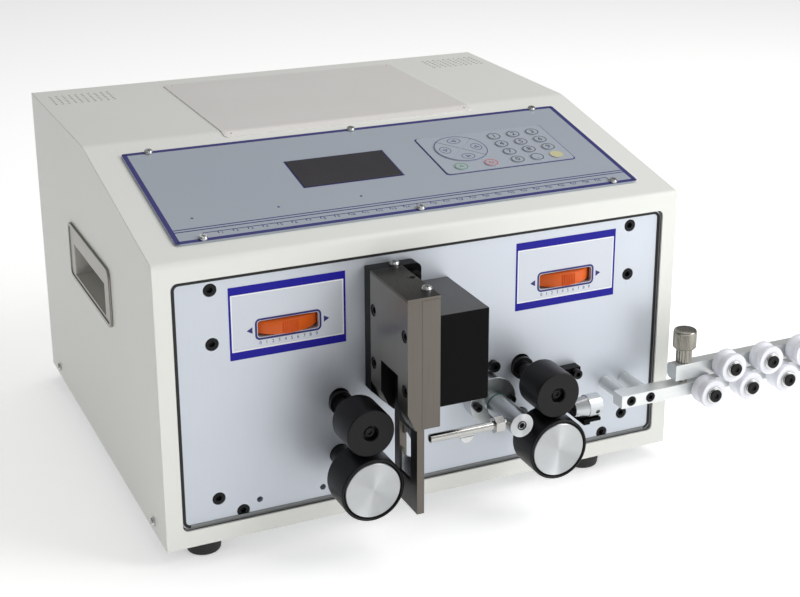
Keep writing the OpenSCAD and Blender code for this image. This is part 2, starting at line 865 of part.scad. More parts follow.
module case_screws() {
    color(steel) {
        on_slope() for (p = panel_screws)
            translate([p[0], p[1], panel_t]) small_screw(panel_t + sheet + screw_grip);
        for (p = rear_screws)
            translate([p[0], y_rear, p[1]]) rotate([-90, 0, 0]) small_screw(sheet + screw_grip);
        for (side = sides, y = side_screw_ys)
            translate([side * case_w / 2, y, side_screw_z]) rotate([0, side * 90, 0])
                small_screw(sheet + screw_grip);
        for (l = cap_screw_ls)
            translate([cap_screw_x, y_plate - l, cutter_top])
                pan_screw(cap_head_d, small_head_h, cap_screw_d, cap_screw_len);
        difference() {
            union() {
                rod_l(plug_x, plug_z, 0, plug_t, plug_d);
                rod_l(plug_x, plug_z, -plate_t, 0, plug_shank_d);
            }
            block_l(plug_x - plug_d, plug_x + plug_d, plug_t / 2, plug_t + past,
                plug_z - plug_slot / 2, plug_z + plug_slot / 2);
        }
    }
}

module rubber_feet() {
    foot_low = foot_d * 0.44;
    color(black) for (p = foot_places) translate([p[0], p[1], 0]) difference() {
        rotate_extrude()
            polygon([[0, 0], [foot_low - 1, 0], [foot_low, 1], [foot_d / 2, foot_h], [0, foot_h]]);
        rod_z(0, 0, -past, foot_h / 2, small_head_d + 2);
    }
}

module carry_handles() {
    color(steel) for (side = sides) to_side(side) translate([case_w / 2, 0, 0]) difference() {
        union() {
            rotate([90, 0, 90]) linear_extrude(handle_t)
                polygon(rounded(centred(0, handle_mid, handle_len, handle_h), handle_corner));
            translate([-cup_depth / 2, 0, cup_mid]) cube([cup_depth, cup_len, cup_h], center = true);
        }
        translate([handle_t, 0, cup_mid])
            cube([2 * cup_depth, cup_len - 2 * handle_t, cup_h - 2 * handle_t], center = true);
    }
}

module control_panel() {
    color("#8f9bb3") on_slope() difference() {
        linear_extrude(panel_t)
            polygon(rounded(rectangle(-panel_w / 2, panel_s, panel_w / 2, panel_s + panel_h), 5));
        translate([lcd_x, lcd_s, 0])
            cube([display_w + 2 * seat, display_h + 2 * seat, 6 * panel_t], center = true);
        for (p = panel_screws) rod_z(p[0], p[1], -past, panel_t + past, small_hole_d);
    }
}

module display_window() {
    color("#27313a") on_slope() linear_extrude(panel_t + 0.5)
        polygon(centred(lcd_x, lcd_s, display_w, display_h));
}

module keypad() {
    color("#c9d0da") on_slope() translate([0, 0, panel_t]) {
        linear_extrude(membrane_t) polygon(rounded(centred(keys_x, keys_s, keys_w, keys_h), 3));
        for (x = key_cols, s = key_rows) rod_z(x, s, 0, membrane_t + key_rise, key_d);
        for (x = pad_keys) rod_z(x, key_rows[0], 0, membrane_t + key_rise, key_d);
        translate([pad_x, pad_s, membrane_t]) difference() {
            cylinder(h = key_rise, r = pad_r);
            for (turn = [45, 135])
                translate([0, 0, key_rise]) rotate([0, 0, turn])
                    cube([3 * pad_r, pad_groove, key_rise], center = true);
        }
    }
}

// Panel board behind the display, with the transformer and the driver board on the tray
module electronics() {
    panel_board();
    transformer();
    driver_board();
}

module panel_board() {
    inset = 4;
    color("darkgreen") on_slope() {
        box([board_x0, board_s0, -board_drop], [board_x1, board_s1, board_t - board_drop]);
        for (x = [board_x0 + inset, board_x1 - inset], s = [board_s0 + inset, board_s1 - inset])
            rod_z(x, s, board_t - board_drop, board_t - board_drop + board_gap, board_post_d);
        translate([0, 0, board_t - board_drop]) linear_extrude(board_gap)
            polygon(centred(lcd_x, lcd_s, display_w, display_h));
        for (i = [0 : 3])
            translate([board_x1 - 70 + i * 16, board_s0 + 12, -board_drop - chip_size[2]]) cube(chip_size);
    }
}

module transformer() {
    color(dark_steel) translate([core_x, core_y, z_floor + sheet]) {
        translate([0, 0, core[2] / 2]) cube(core, center = true);
        translate([0, 0, core[2] / 2]) cube(winding, center = true);
        for (side = sides) translate([side * (core[0] + core_ear[0] - 2) / 2, 0, core_ear[2] / 2])
            cube(core_ear, center = true);
    }
}

module driver_board() {
    top = driver_post_h + driver[2];
    color("darkgreen") translate([driver_x, driver_y, z_floor + sheet]) {
        for (x = [4, driver[0] - 4], y = [4, driver[1] - 4]) rod_z(x, y, 0, driver_post_h, board_post_d);
        translate([0, 0, driver_post_h]) cube(driver);
        translate([20, 10, top]) cube(heat_sink);
        for (i = [0 : 2]) rod_z(can_x + i * can_step, can_y, top, top + can_h, can_d);
    }
}

module power_inlet() {
    color(black) difference() {
        union() {
            slab_y(y_rear, module_t) polygon(rounded(centred(module_x, module_z, module_w, module_h), 3));
            slab_y(y_rear - module_depth, module_depth) polygon(centred(module_x, module_z,
                module_w - 2 * (module_lip + seat), module_h - 2 * (module_lip + seat)));
        }
        slab_y(y_rear - socket_depth, 2 * socket_depth)
            polygon(centred(module_x, socket_z, socket_w, socket_h));
        slab_y(y_rear - rocker_pocket, 2 * rocker_pocket)
            polygon(centred(module_x, rocker_z, rocker_w, rocker_h));
    }
    color(steel) for (p = [[-7, -2], [0, 2], [7, -2]])
        translate([module_x + p[0] - contact[0] / 2, y_rear - socket_depth, socket_z + p[1] - contact[2] / 2])
            cube(contact);
}

module power_switch() {
    edge = rocker_reach + 0.2;
    color("#c33027") translate([module_x, y_rear + rocker_pivot, rocker_z]) rotate([rocker_tilt, 0, 0])
        along_x(rocker_w - 2 * run) polygon([
            [-rocker_depth, -3], [rocker_lip - 0.8, -edge], [rocker_lip, -rocker_reach], [rocker_lip - 1, 0],
            [rocker_lip, rocker_reach], [rocker_lip - 0.8, edge], [-rocker_depth, 3]]);
}

module front_plate() {
    color(brushed) difference() {
        slab_y(y_plate, plate_t) polygon(rounded(rectangle(-plate_x, plate_z0, plate_x, plate_z1), 3));
        for (side = sides) to_side(side) {
            for (p = plate_screws) {
                plate_hole(p[0], p[1], plate_screw_d + 2 * fit);
                rod_y(p[0], p[1], y_plate + plate_head_h + head_sink, y_plate - past,
                    plate_head_d + 2 * plate_head_play);
            }
            plate_hole(feed_x, drive_z, hub_hole_d);
            plate_hole(feed_x, press_z, hub_hole_d);
            plate_hole(feed_x, press_z + gap_travel, hub_hole_d);
            translate([feed_x - hub_hole_d / 2, y_plate - past, press_z])
                cube([hub_hole_d, plate_t + 2 * past, gap_travel]);
            slab_y(y_plate - past, plate_t + 2 * past)
                polygon(rounded(centred(dial_x, dial_z, dial_slot_w, dial_slot_h), 2));
            rod_z(dial_x, dial_y, dial_z - dial_slot_h / 2, dial_z + dial_slot_h / 2, 2 * dial_r + 2);
        }
        for (p = spare_holes) plate_hole(p[0], p[1], spare_hole_d);
        for (p = flange_bolts) plate_hole(p[0], p[1], flange_screw_d + 2 * fit);
        plate_hole(spare_screw[0], spare_screw[1], plate_screw_d + 2 * fit);
        plate_hole(plug_x, plug_z, plug_shank_d + 2 * fit);
        plate_hole(pinion_x, pinion_z, pinion_shaft_d + 2);
        plate_hole(guide_x, wire_z, guide_shaft_d + 1);
        plate_hole(inlet_screw_x, inlet_screw_z, inlet_screw_d + 2 * fit);
        plate_hole(tab_screw[0], tab_screw[1], bar_screw_d + 2 * fit);
    }
}

module socket_screws() {
    color(black) {
        for (side = sides, p = plate_screws)
            plate_screw(side * p[0], y_plate + plate_head_h + head_sink, p[1], upright_t);
        plate_screw(spare_screw[0], y_plate, spare_screw[1], plate_t);
        socket_screw(tab_screw[0], y_plate - base_l, tab_screw[1],
            bar_head_d, bar_head_h, bar_screw_d, base_l + 0.7 * plate_t);
        for (p = flange_bolts) socket_screw(p[0], y_plate - flange_l, p[1],
            flange_head_d, flange_head_h, flange_screw_d, flange_l + 0.7 * plate_t);
        for (x = post_xs) socket_screw(x, y_plate - bar_l1 + post_head_h, lower_z,
            post_head_d, post_head_h, post_screw_d, bar_t - post_head_h + bar_screw_grip);
        socket_screw(inlet_screw_x, y_plate - inlet_foot_l, inlet_screw_z,
            inlet_head_d, inlet_head_h, inlet_screw_d, inlet_foot_l + 0.6 * plate_t);
        for (p = clamp_places) difference() {
            rod_x(cutter_left + clamp_sink, cutter_left + clamp_depth, y_plate - p[0], p[1], clamp_head_d);
            translate([cutter_left, y_plate - p[0], p[1]]) rotate([0, 90, 0])
                cylinder(h = clamp_depth * 0.65, d = hex_key, $fn = 6);
        }
    }
}

module bearing_blocks() {
    rail_h = cap_z0 + spring_cap_t - block_z0;
    inner = feed_x - block_x;
    outer = feed_x + block_x;
    color(brushed) for (side = sides) to_side(side) {
        difference() {
            union() {
                box([inner, y_back, block_z0], [outer, y_back + block_t, slide_z0 - 3]);
                for (x = [inner, outer - rail_t])
                    translate([x, y_back, block_z0]) cube([rail_t, block_t, rail_h]);
                translate([inner, y_back, cap_z0]) cube([2 * block_x, block_t, spring_cap_t]);
                box([outer - rail_t, y_back, cap_z0], [dial_x + nut_w / 2, y_back + lug_depth, lug_low_z1]);
            }
            rod_y(feed_x, drive_z, y_back + block_t + past, y_back - past, shaft_d + 2 * fit);
            rod_z(dial_x, dial_y, cap_z0 - past, lug_low_z1 + past, spindle_hole_d);
        }
        difference() {
            translate([dial_x - nut_w / 2, y_back, lug_top_z0]) cube([nut_w, lug_depth, lug_t]);
            rod_z(dial_x, dial_y, lug_top_z0 - past, lug_top_z0 + lug_t + past, spindle_hole_d);
        }
        for (p = post_corners)
            rod_y(feed_x + p[0] * motor_bolt, drive_z + p[1] * motor_bolt, motor_y, y_back, post_d);
    }
}

// One square stepper motor with its front face at y and a bore for the shaft that it turns
module stepper(x, y, z, shaft) {
    waist = motor_w - 2 * motor_waist;
    difference() {
        translate([x, y, z]) rotate([-90, 0, 0]) {
            for (from = [0, motor_len - motor_end_t]) translate([-motor_w / 2, -motor_w / 2, from])
                cube([motor_w, motor_w, motor_end_t]);
            translate([-waist / 2, -waist / 2, 0]) cube([waist, waist, motor_len]);
        }
        rod_y(x, z, y + motor_shaft_len + 2, y - past, shaft + 4 * fit);
    }
}

module stepper_motors() {
    color(black) {
        for (side = sides) stepper(side * feed_x, motor_y, drive_z, motor_shaft_d);
        stepper(pinion_x, y_back, pinion_z, pinion_shaft_d);
    }
}

// Round wire wound into a compression spring that stands on its own Z = 0 plane
module coil_spring(length, mean_r, wire_d, turns) {
    per_turn = 16;
    rings = turns * per_turn;
    n = 6;
    rise = (length - wire_d) / rings;
    points = [for (i = [0 : rings], j = [0 : n - 1])
        let (a = i * 360 / per_turn, b = j * 360 / n, r = mean_r + wire_d / 2 * cos(b))
        [r * cos(a), r * sin(a), wire_d / 2 + i * rise + wire_d / 2 * sin(b)]];
    skin = [for (i = [0 : rings - 1], j = [0 : n - 1])
        let (p = i * n + j, q = i * n + (j + 1) % n)
        each [[p, q, q + n], [p, q + n, p + n]]];
    last = rings * n;
    ends = [for (j = [1 : n - 2]) each [[0, j + 1, j], [last, last + j, last + j + 1]]];
    polyhedron(points, concat(skin, ends));
}

module pressure_springs() {
    color(steel) for (side = sides) translate([side * feed_x, spring_y, slide_z1 + fit])
        coil_spring(spring_len - 2 * fit, (spring_d - spring_wire) / 2, spring_wire, spring_turns);
}

module gap_dial(side) {
    low = dial_r - dial_edge;
    high = dial_t - dial_edge;
    color(orange) translate([side * dial_x, dial_y, 0]) {
        translate([0, 0, dial_z0]) rotate_extrude()
            polygon([[0, 0], [low, 0], [dial_r, dial_edge], [dial_r, high], [low, dial_t], [0, dial_t]]);
        rod_z(0, 0, arm_z0 - 6, lug_top_z0 + lug_t, spindle_d);
    }
}

module pressure_slide(side) {
    inner = feed_x - slide_x;
    outer = dial_x + nut_w / 2;
    color(steel) to_side(side) difference() {
        union() {
            box([inner, y_back + run, slide_z0], [feed_x + slide_x, y_back + block_t + 2 * run, slide_z1]);
            box([inner, y_back + block_t + run, arm_z0], [outer, arm_end, slide_z1]);
            box([dial_x - nut_w / 2, dial_y - 9, arm_z0], [outer, arm_end, slide_z1]);
        }
        rod_y(feed_x, press_z, y_back + block_t + past, y_back, shaft_d + 2 * fit);
        rod_z(dial_x, dial_y, arm_z0 - past, slide_z1 + past, spindle_hole_d);
    }
}

// One gear with its back face at the end of the gear layer, turned so that a tooth or gap faces up or down
module feed_gear(x, z, teeth, turn) {
    translate([x, gear_end, z]) rotate([90, 0, 0]) linear_extrude(gear_w)
        rotate(turn) polygon(gear_points(gear_module, teeth, gear_slack));
}

module pressure_roller(side) {
    color(black) difference() {
        rod_l(side * feed_x, press_z, press_front - roller_len, press_front, 2 * press_r);
        rod_l(side * feed_x, press_z, press_front - roller_len - past, press_front + past, shaft_d + 2 * fit);
    }
}

module pressure_shaft(side) {
    end_sink = 4;
    x = side * feed_x;
    color(steel) difference() {
        union() {
            rod_y(x, press_z, gear_end, y_plate - press_front + end_sink, shaft_d);
            rod_y(x, press_z, hub_end, y_plate - hub_collar_l0, hub_d);
            rod_l(x, press_z, hub_collar_l0, hub_collar_l1, hub_d + hub_collar);
            rod_l(x, press_z, hub_collar_l1, press_front - roller_len, shaft_d + neck_wall);
            feed_gear(x, press_z, press_teeth, -90 + 180 / press_teeth);
        }
        hex_y(x, y_plate - press_front + end_sink, press_z, 5, 5);
    }
}

module drive_roller(side) {
    x = side * feed_x;
    color(black) difference() {
        rod_l(x, drive_z, drive_front - roller_len, drive_front, 2 * drive_r);
        rod_l(x, drive_z, drive_front - roller_len - past, drive_front, shaft_d + 2 * fit);
        rod_l(x, drive_z, drive_front - cap_t, drive_front + past, 2 * (drive_r - cap_inset + fit));
    }
}

module drive_shaft(side) {
    x = side * feed_x;
    color(steel) {
        rod_y(x, drive_z, gear_end + 1, y_plate - drive_front + cap_t + seat, shaft_d);
        rod_y(x, drive_z, hub_end, y_plate - drive_front + roller_len, hub_d);
        rod_y(x, drive_z, motor_y + motor_shaft_len, gear_end, motor_shaft_d);
        feed_gear(x, drive_z, drive_teeth, 90);
    }
}

module roller_cap(side) {
    x = side * feed_x;
    color(steel) rod_l(x, drive_z, drive_front - cap_t, drive_front, 2 * (drive_r - cap_inset));
}

module cutter_base() {
    inset = cover_t + run;
    color(black) difference() {
        union() {
            drawn_front(0, 0, 0, base_l) polygon([
                [cutter_left, base_z0 + base_chamfer], [cutter_left + base_chamfer, base_z0],
                [cutter_right, base_z0], [cutter_right, cutter_top], [cutter_left, cutter_top]]);
            drawn_front(0, 0, 0, base_l) polygon(concat(
                [[cutter_right, cutter_top], [cutter_right, tab_z0], [tab_x, tab_z0]],
                arc_corner([tab_x, tab_z0], [tab_x, cutter_top], [cutter_right, cutter_top], tab_corner)));
            block_l(cutter_right, cover_x1 - inset, 0, base_l, cover_z0 + inset, cover_z1 - inset);
        }
        rod_l(pinion_x, pinion_z, -past, base_l + past, pinion_shaft_d + 2 * fit);
        rod_l(tab_screw[0], tab_screw[1], -past, base_l + past, bar_screw_d + 2 * fit);
        cap_screw_hole(cap_screw_ls[0], cutter_top);
    }
}

// A hole down from a face at z for one screw of the top cap
module cap_screw_hole(l, z) {
    rod_z(cap_screw_x, y_plate - l, plates_z1 - cap_screw_len, z + past, cap_hole_d);
}

// Space in the guide plates for the two blade holders
module holder_channel() {
    block_l(seam_x - channel_x, seam_x + channel_x, lower_l0 - run, lower_l1 + run,
        plates_z0 - past, channel_z1);
}

module cutter_left_plate() {
    color(dark_steel) difference() {
        block_l(cutter_left, seam_x, base_l, cutter_reach, plates_z0, plates_z1);
        holder_channel();
        block_l(cutter_left - past, seam_x + past, window_l0, window_l1, plates_z0 - past, window_z1);
        for (p = clamp_places)
            rod_x(cutter_left - past, cutter_left + clamp_depth, y_plate - p[0], p[1], clamp_hole_d);
        drawn_front(cutter_left, plates_z0, base_l - past, cutter_reach + past) polygon([
            [-past, -past], [foot_cut_w, -past], [foot_cut_w, 0], [0, foot_cut_h], [-past, foot_cut_h]]);
    }
}

module cutter_right_plate() {
    right = cutter_right + past;
    color(dark_steel) difference() {
        block_l(seam_x, cutter_right, base_l, cutter_reach, plates_z0, plates_z1);
        holder_channel();
        block_l(seam_x, right, lower_l0 - run, strip_back + run,
            lower_arm_z0 - run, lower_arm_z1 + blade_travel + run);
        block_l(seam_x, right, rack_l0 - run, rack_l1 + run,
            upper_arm_z0 - blade_travel - run, upper_arm_z1 + run);
        cap_screw_hole(cap_screw_ls[1], plates_z1);
    }
}

module cutter_top_cap() {
    color(dark_steel) difference() {
        block_l(cutter_left, cutter_right, base_l, cutter_reach, plates_z1, cutter_top);
        cap_screw_hole(cap_screw_ls[1], cutter_top);
        rod_z(cap_screw_x, y_plate - pin_hole_l, cutter_top - top_cap_h / 2, cutter_top + past, pin_hole_d);
    }
}

module cutter_cover() {
    color(black) difference() {
        block_l(cutter_right, cover_x1, 0, cover_l1, cover_z0, cover_z1);
        block_l(cutter_right - past, cover_x1 - cover_t, -past, cover_l1 - cover_t,
            cover_z0 + cover_t, cover_z1 - cover_t);
    }
}

module upper_blade_holder() {
    rack_x = pinion_x - pinion_r;
    color(steel) difference() {
        union() {
            block_l(holder_x0, holder_x1, upper_l0, upper_l1, upper_holder_z0, upper_holder_z1);
            block_l(seam_x, rack_x - rack_root, rack_l0, rack_l1, upper_arm_z0, upper_arm_z1);
            drawn_front(rack_x, pinion_z, rack_l0, rack_l1)
                polygon(rack_points(-rack_reach, rack_reach + blade_travel, gear_slack));
        }
        block_l(seam_x, seam_x + blade_t + 2 * fit, upper_l0 - past, upper_l1 + past,
            upper_holder_z0 - past, upper_holder_z0 + blade_seat);
    }
}

module lower_blade_holder() {
    rack_x = pinion_x + pinion_r;
    color(steel) difference() {
        union() {
            block_l(holder_x0, holder_x1, lower_l0, lower_l1, lower_bar_z0, lower_bar_z1);
            block_l(holder_x0, holder_x1, lower_l0, strip_back, lower_bar_z0, lower_arm_z1);
            block_l(holder_x0, holder_x1, strip_front, lower_l1, lower_bar_z0, lower_arm_z1 + 4);
            block_l(seam_x, rack_x + rack_root + rack_back, lower_l0, strip_back, lower_arm_z0, lower_arm_z1);
            drawn_front(rack_x, pinion_z, lower_l0, strip_back)
                mirror([1, 0]) polygon(rack_points(lower_arm_z0 - pinion_z, rack_reach, gear_slack));
        }
        block_l(seam_x - blade_t - 2 * fit, seam_x, strip_back, strip_front,
            lower_bar_z1 - blade_seat, lower_bar_z1 + past);
    }
}

// A blade, grown along X: a straight back and a notched edge that faces the wire
module blade(x0, edge, back) {
    tip = edge + (edge > back ? blade_notch : -blade_notch);
    rear = upper_l0 + fit;
    front = upper_l1 - fit;
    translate([x0 + blade_t, y_plate, 0]) rotate([90, 0, -90]) linear_extrude(blade_t)
        polygon([[rear, back], [front, back], [front, tip], [wire_l, edge], [rear, tip]]);
}

module upper_blade() {
    color("silver") blade(seam_x + fit, upper_edge, upper_holder_z0 + blade_seat - fit);
}

module lower_blade() {
    color("silver") blade(seam_x - blade_t - fit, lower_edge, lower_bar_z1 - blade_seat + fit);
}

module cutter_pinion() {
    color(steel) {
        drawn_front(pinion_x, pinion_z, pinion_l0, pinion_l1)
            rotate(180 / pinion_teeth) polygon(gear_points(pinion_module, pinion_teeth, gear_slack));
        rod_y(pinion_x, pinion_z, y_back + motor_shaft_len, y_plate - pinion_l1, pinion_shaft_d);
    }
}

module guide_flange() {
    color(steel) difference() {
        rod_l(guide_x, wire_z, 0, flange_l, flange_d);
        rod_l(guide_x, wire_z, -past, flange_l + past, guide_shaft_d + 2 * fit);
        for (p = flange_bolts) rod_l(p[0], p[1], -past, flange_l + past, flange_screw_d + 2 * fit);
    }
}

module guide_arm() {
    color(steel) difference() {
        union() {
            rod_l(guide_x, wire_z, flange_l + guide_neck_l, guide_end, guide_d);
            rod_l(guide_x, wire_z, flange_l + run, flange_l + guide_neck_l, guide_shaft_d + 2);
            rod_y(guide_x, wire_z, y_back + guide_collar_l, y_plate - flange_l - guide_neck_l, guide_shaft_d);
            rod_y(guide_x, wire_z, y_back + guide_collar_l, y_back + run, guide_d);
        }
        rod_x(guide_x - guide_d, guide_x + guide_d, y_plate - wire_l, wire_z, tube_d + 2 * fit);
        hex_y(guide_x, y_plate - guide_end, wire_z, 4, hex_key);
    }
}

module guide_tube() {
    y = y_plate - wire_l;
    color("silver") difference() {
        union() {
            rod_x(tube_end, tube_tail, y, wire_z, tube_d);
            translate([collar_x0, y, wire_z]) rotate([0, 90, 0])
                cylinder(h = collar_w, d = 2 * tube_d, $fn = 6);
        }
        rod_x(tube_end - past, tube_tail + past, y, wire_z, wire_bore);
    }
}

module inlet_bracket() {
    arm_x1 = inlet_arm_x + inlet_arm_w;
    z0 = inlet_seat_z - inlet_arm_h;
    color(black) difference() {
        union() {
            block_l(inlet_arm_x, arm_x1, 0, inlet_foot_l, z0, inlet_lug_z1);
            block_l(inlet_arm_x, inlet_lug_x1, 0, inlet_foot_l, inlet_lug_z1 - inlet_lug_h, inlet_lug_z1);
            block_l(inlet_arm_x, arm_x1, 0, inlet_arm_l, z0, inlet_seat_z);
            block_l(inlet_arm_x, inlet_x1, inlet_seat_l, inlet_arm_l,
                inlet_seat_z - inlet_seat_t, inlet_seat_z);
        }
        rod_l(inlet_screw_x, inlet_screw_z, -past, inlet_foot_l + past, inlet_screw_d + 2 * fit);
    }
}

module inlet_guide() {
    y = y_plate - wire_l;
    color(steel) difference() {
        union() {
            rod_x(inlet_collar_x, inlet_x1, y, wire_z, inlet_collar_d);
            translate([inlet_x0, y, wire_z]) rotate([0, 90, 0])
                cylinder(h = inlet_collar_x - inlet_x0, d1 = inlet_tip_d, d2 = inlet_d);
        }
        rod_x(inlet_x0 - past, inlet_x1 + past, y, wire_z, wire_bore);
        rod_l(inlet_x1 - set_screw_x, wire_z - set_screw_low, wire_l + wire_bore / 2 + 2,
            wire_l + inlet_collar_d, set_screw_d);
    }
}

// Two posts that carry the fixed bar off the front plate
module straightener_posts() {
    for (x = post_xs) difference() {
        rod_l(x, lower_z, 0, bar_l0, straight_post_d);
        rod_l(x, lower_z, bar_l0 - bar_screw_grip - past, bar_l0 + past, post_screw_d + 2 * fit);
    }
}

// Blind holes for the axles of one row, and the holes of the two knurled screws
module bar_holes(xs, z, z0, z1) {
    for (x = xs) rod_l(x, z, bar_l1 - axle_seat - past / 2, bar_l1 + past, axle_d + 2 * fit);
    for (x = knob_xs) rod_z(x, y_plate - knob_l, z0 - past, z1 + past, screw_d + 2 * fit);
}

module straightener_bar() {
    color(steel) straightener_posts();
    color(steel) difference() {
        block_l(bar_x0, bar_x1, bar_l0, bar_l1, bar_z0, bar_z1);
        for (x = post_xs) {
            rod_l(x, lower_z, bar_l0 - past, bar_l1 + past, post_screw_d + 2 * fit);
            rod_l(x, lower_z, bar_l1 - post_head_h, bar_l1 + past, post_head_d + 2 * head_play);
        }
        bar_holes(lower_xs, lower_z, bar_z0, bar_z1);
    }
}

// The moving bar, with its two rear edges rounded
module straightener_upper_bar() {
    front_low = [-bar_l1, upper_bar_z0];
    rear_low = [-bar_l0, upper_bar_z0];
    rear_high = [-bar_l0, upper_bar_z1];
    front_high = [-bar_l1, upper_bar_z1];
    section = concat([front_low], arc_corner(front_low, rear_low, rear_high, upper_bar_round),
        arc_corner(rear_low, rear_high, front_high, upper_bar_round), [front_high]);
    color(steel) difference() {
        translate([upper_x0, y_plate, 0]) rotate([90, 0, 90])
            linear_extrude(upper_x1 - upper_x0) polygon(section);
        bar_holes(upper_xs, upper_z, upper_bar_z0, upper_bar_z1);
    }
}

// One roller axle: a pin in the bar, a spacer behind the roller, a washer and a socket head
module axle(x, z) {
    front = wire_l + straight_w / 2 + run;
    head = front + washer_t;
    difference() {
        union() {
            rod_l(x, z, bar_l1 - axle_seat, head, axle_d);
            rod_l(x, z, bar_l1, wire_l - straight_w / 2 - run, spacer_d);
            rod_l(x, z, front, head, washer_d);
            rod_l(x, z, head, head + axle_head_h, axle_head_d);
        }
        hex_y(x, y_plate - head - axle_head_h, z, axle_head_h * 0.8, hex_key);
    }
}

module lower_axles() {
    color(black) for (x = lower_xs) axle(x, lower_z);
}

module upper_axles() {
    color(black) for (x = upper_xs) axle(x, upper_z);
}

module straightener_roller(x, z) {
    bore = axle_d / 2 + fit;
    half = straight_w / 2;
    rim = straight_r - roller_edge;
    color("whitesmoke") translate([x, y_plate - wire_l, z]) rotate([90, 0, 0]) rotate_extrude() polygon([
        [bore, -half], [rim, -half], [straight_r, roller_edge - half], [straight_r, -groove_half],
        [groove_r, -groove_floor], [groove_r, groove_floor], [straight_r, groove_half],
        [straight_r, half - roller_edge], [rim, half], [bore, half]]);
}

module straightener_screw(x) {
    top = upper_bar_z1 + run;
    under = upper_bar_z0 - run;
    low = bar_z0 + past / 2;
    rim = knob_d / 2 - knob_edge;
    color("silver") translate([x, y_plate - knob_l, 0]) {
        rod_z(0, 0, low, top, screw_d);
        rod_z(0, 0, under - clip_t, under, clip_d);
        rod_z(0, 0, top, top + neck_h, neck_d);
        translate([0, 0, top + neck_h]) rotate_extrude() polygon([
            [0, 0], [rim, 0], [knob_d / 2, knob_edge], [knob_d / 2, knob_h - knob_edge],
            [rim, knob_h], [0, knob_h]]);
    }
}

on_bench() case_shell();
on_bench() base_tray();
on_bench() rear_panel();
on_bench() top_plate();
on_bench() case_screws();
on_bench() rubber_feet();
on_bench() carry_handles();
on_bench() control_panel();
on_bench() display_window();
on_bench() keypad();
on_bench() electronics();
on_bench() power_inlet();
on_bench() power_switch();
on_bench() front_plate();
on_bench() socket_screws();
on_bench() bearing_blocks();
on_bench() stepper_motors();
on_bench() pressure_springs();
on_bench() gap_dial(-1);  // left_gap_dial
on_bench() gap_dial(1);  // right_gap_dial
on_bench() pressure_slide(-1);  // left_pressure_slide
on_bench() pressure_slide(1);  // right_pressure_slide
on_bench() pressure_roller(-1);  // left_pressure_roller
on_bench() pressure_roller(1);  // right_pressure_roller
on_bench() pressure_shaft(-1);  // left_pressure_shaft
on_bench() pressure_shaft(1);  // right_pressure_shaft
on_bench() drive_roller(-1);  // left_drive_roller
on_bench() drive_roller(1);  // right_drive_roller
on_bench() drive_shaft(-1);  // left_drive_shaft
on_bench() drive_shaft(1);  // right_drive_shaft
on_bench() roller_cap(-1);  // left_roller_cap
on_bench() roller_cap(1);  // right_roller_cap
on_bench() cutter_base();
on_bench() cutter_left_plate();
on_bench() cutter_right_plate();
on_bench() cutter_top_cap();
on_bench() cutter_cover();
on_bench() upper_blade_holder();
on_bench() lower_blade_holder();
on_bench() upper_blade();
on_bench() lower_blade();
on_bench() cutter_pinion();
on_bench() guide_flange();
on_bench() guide_arm();
on_bench() guide_tube();
on_bench() inlet_bracket();
on_bench() inlet_guide();
on_bench() straightener_bar();
on_bench() straightener_upper_bar();
on_bench() lower_axles();
on_bench() upper_axles();
on_bench() straightener_roller(lower_xs[0], lower_z);  // straightener_roller_1
on_bench() straightener_roller(lower_xs[1], lower_z);  // straightener_roller_2
on_bench() straightener_roller(lower_xs[2], lower_z);  // straightener_roller_3
on_bench() straightener_roller(lower_xs[3], lower_z);  // straightener_roller_4
on_bench() straightener_roller(upper_xs[0], upper_z);  // straightener_roller_5
on_bench() straightener_roller(upper_xs[1], upper_z);  // straightener_roller_6
on_bench() straightener_roller(upper_xs[2], upper_z);  // straightener_roller_7
on_bench() straightener_screw(knob_xs[0]);  // straightener_screw_1
on_bench() straightener_screw(knob_xs[1]);  // straightener_screw_2
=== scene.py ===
"""Looks of a bench-top wire stripping machine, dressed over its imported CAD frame.

Sizes are in millimetres about the middle of the case, at bench height. A piece's mesh is turned to
metres in the frame's own place when it is finished.
"""

import json
import logging
import math
from dataclasses import dataclass, replace
from enum import Enum
from typing import Callable, ClassVar, Sequence

import bmesh
import bpy
from mathutils import Matrix, Vector

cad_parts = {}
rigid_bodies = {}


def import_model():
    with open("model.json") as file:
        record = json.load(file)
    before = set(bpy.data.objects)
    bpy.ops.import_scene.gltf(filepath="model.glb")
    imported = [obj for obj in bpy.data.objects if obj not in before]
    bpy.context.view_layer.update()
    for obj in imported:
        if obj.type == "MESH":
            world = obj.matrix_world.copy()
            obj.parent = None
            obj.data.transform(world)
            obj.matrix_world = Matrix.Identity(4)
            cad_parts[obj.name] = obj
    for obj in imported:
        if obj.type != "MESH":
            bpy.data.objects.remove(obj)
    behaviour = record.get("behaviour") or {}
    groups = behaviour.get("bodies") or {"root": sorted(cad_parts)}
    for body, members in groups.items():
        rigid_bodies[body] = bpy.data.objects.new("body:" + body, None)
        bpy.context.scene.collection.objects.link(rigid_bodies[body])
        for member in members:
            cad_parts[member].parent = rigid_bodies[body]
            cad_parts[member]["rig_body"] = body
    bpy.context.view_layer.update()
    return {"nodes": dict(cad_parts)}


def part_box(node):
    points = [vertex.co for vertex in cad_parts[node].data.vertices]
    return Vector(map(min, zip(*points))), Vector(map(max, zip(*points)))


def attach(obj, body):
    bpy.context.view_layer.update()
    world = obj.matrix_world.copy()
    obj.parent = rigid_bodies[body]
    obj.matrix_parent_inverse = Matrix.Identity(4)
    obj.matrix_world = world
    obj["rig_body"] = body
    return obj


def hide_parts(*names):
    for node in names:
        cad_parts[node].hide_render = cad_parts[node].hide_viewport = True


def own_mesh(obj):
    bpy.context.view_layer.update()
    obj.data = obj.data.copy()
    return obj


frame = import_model()

MM = 0.001
PHOTO_WIDTH = 800
log = logging.getLogger("wire_stripper")

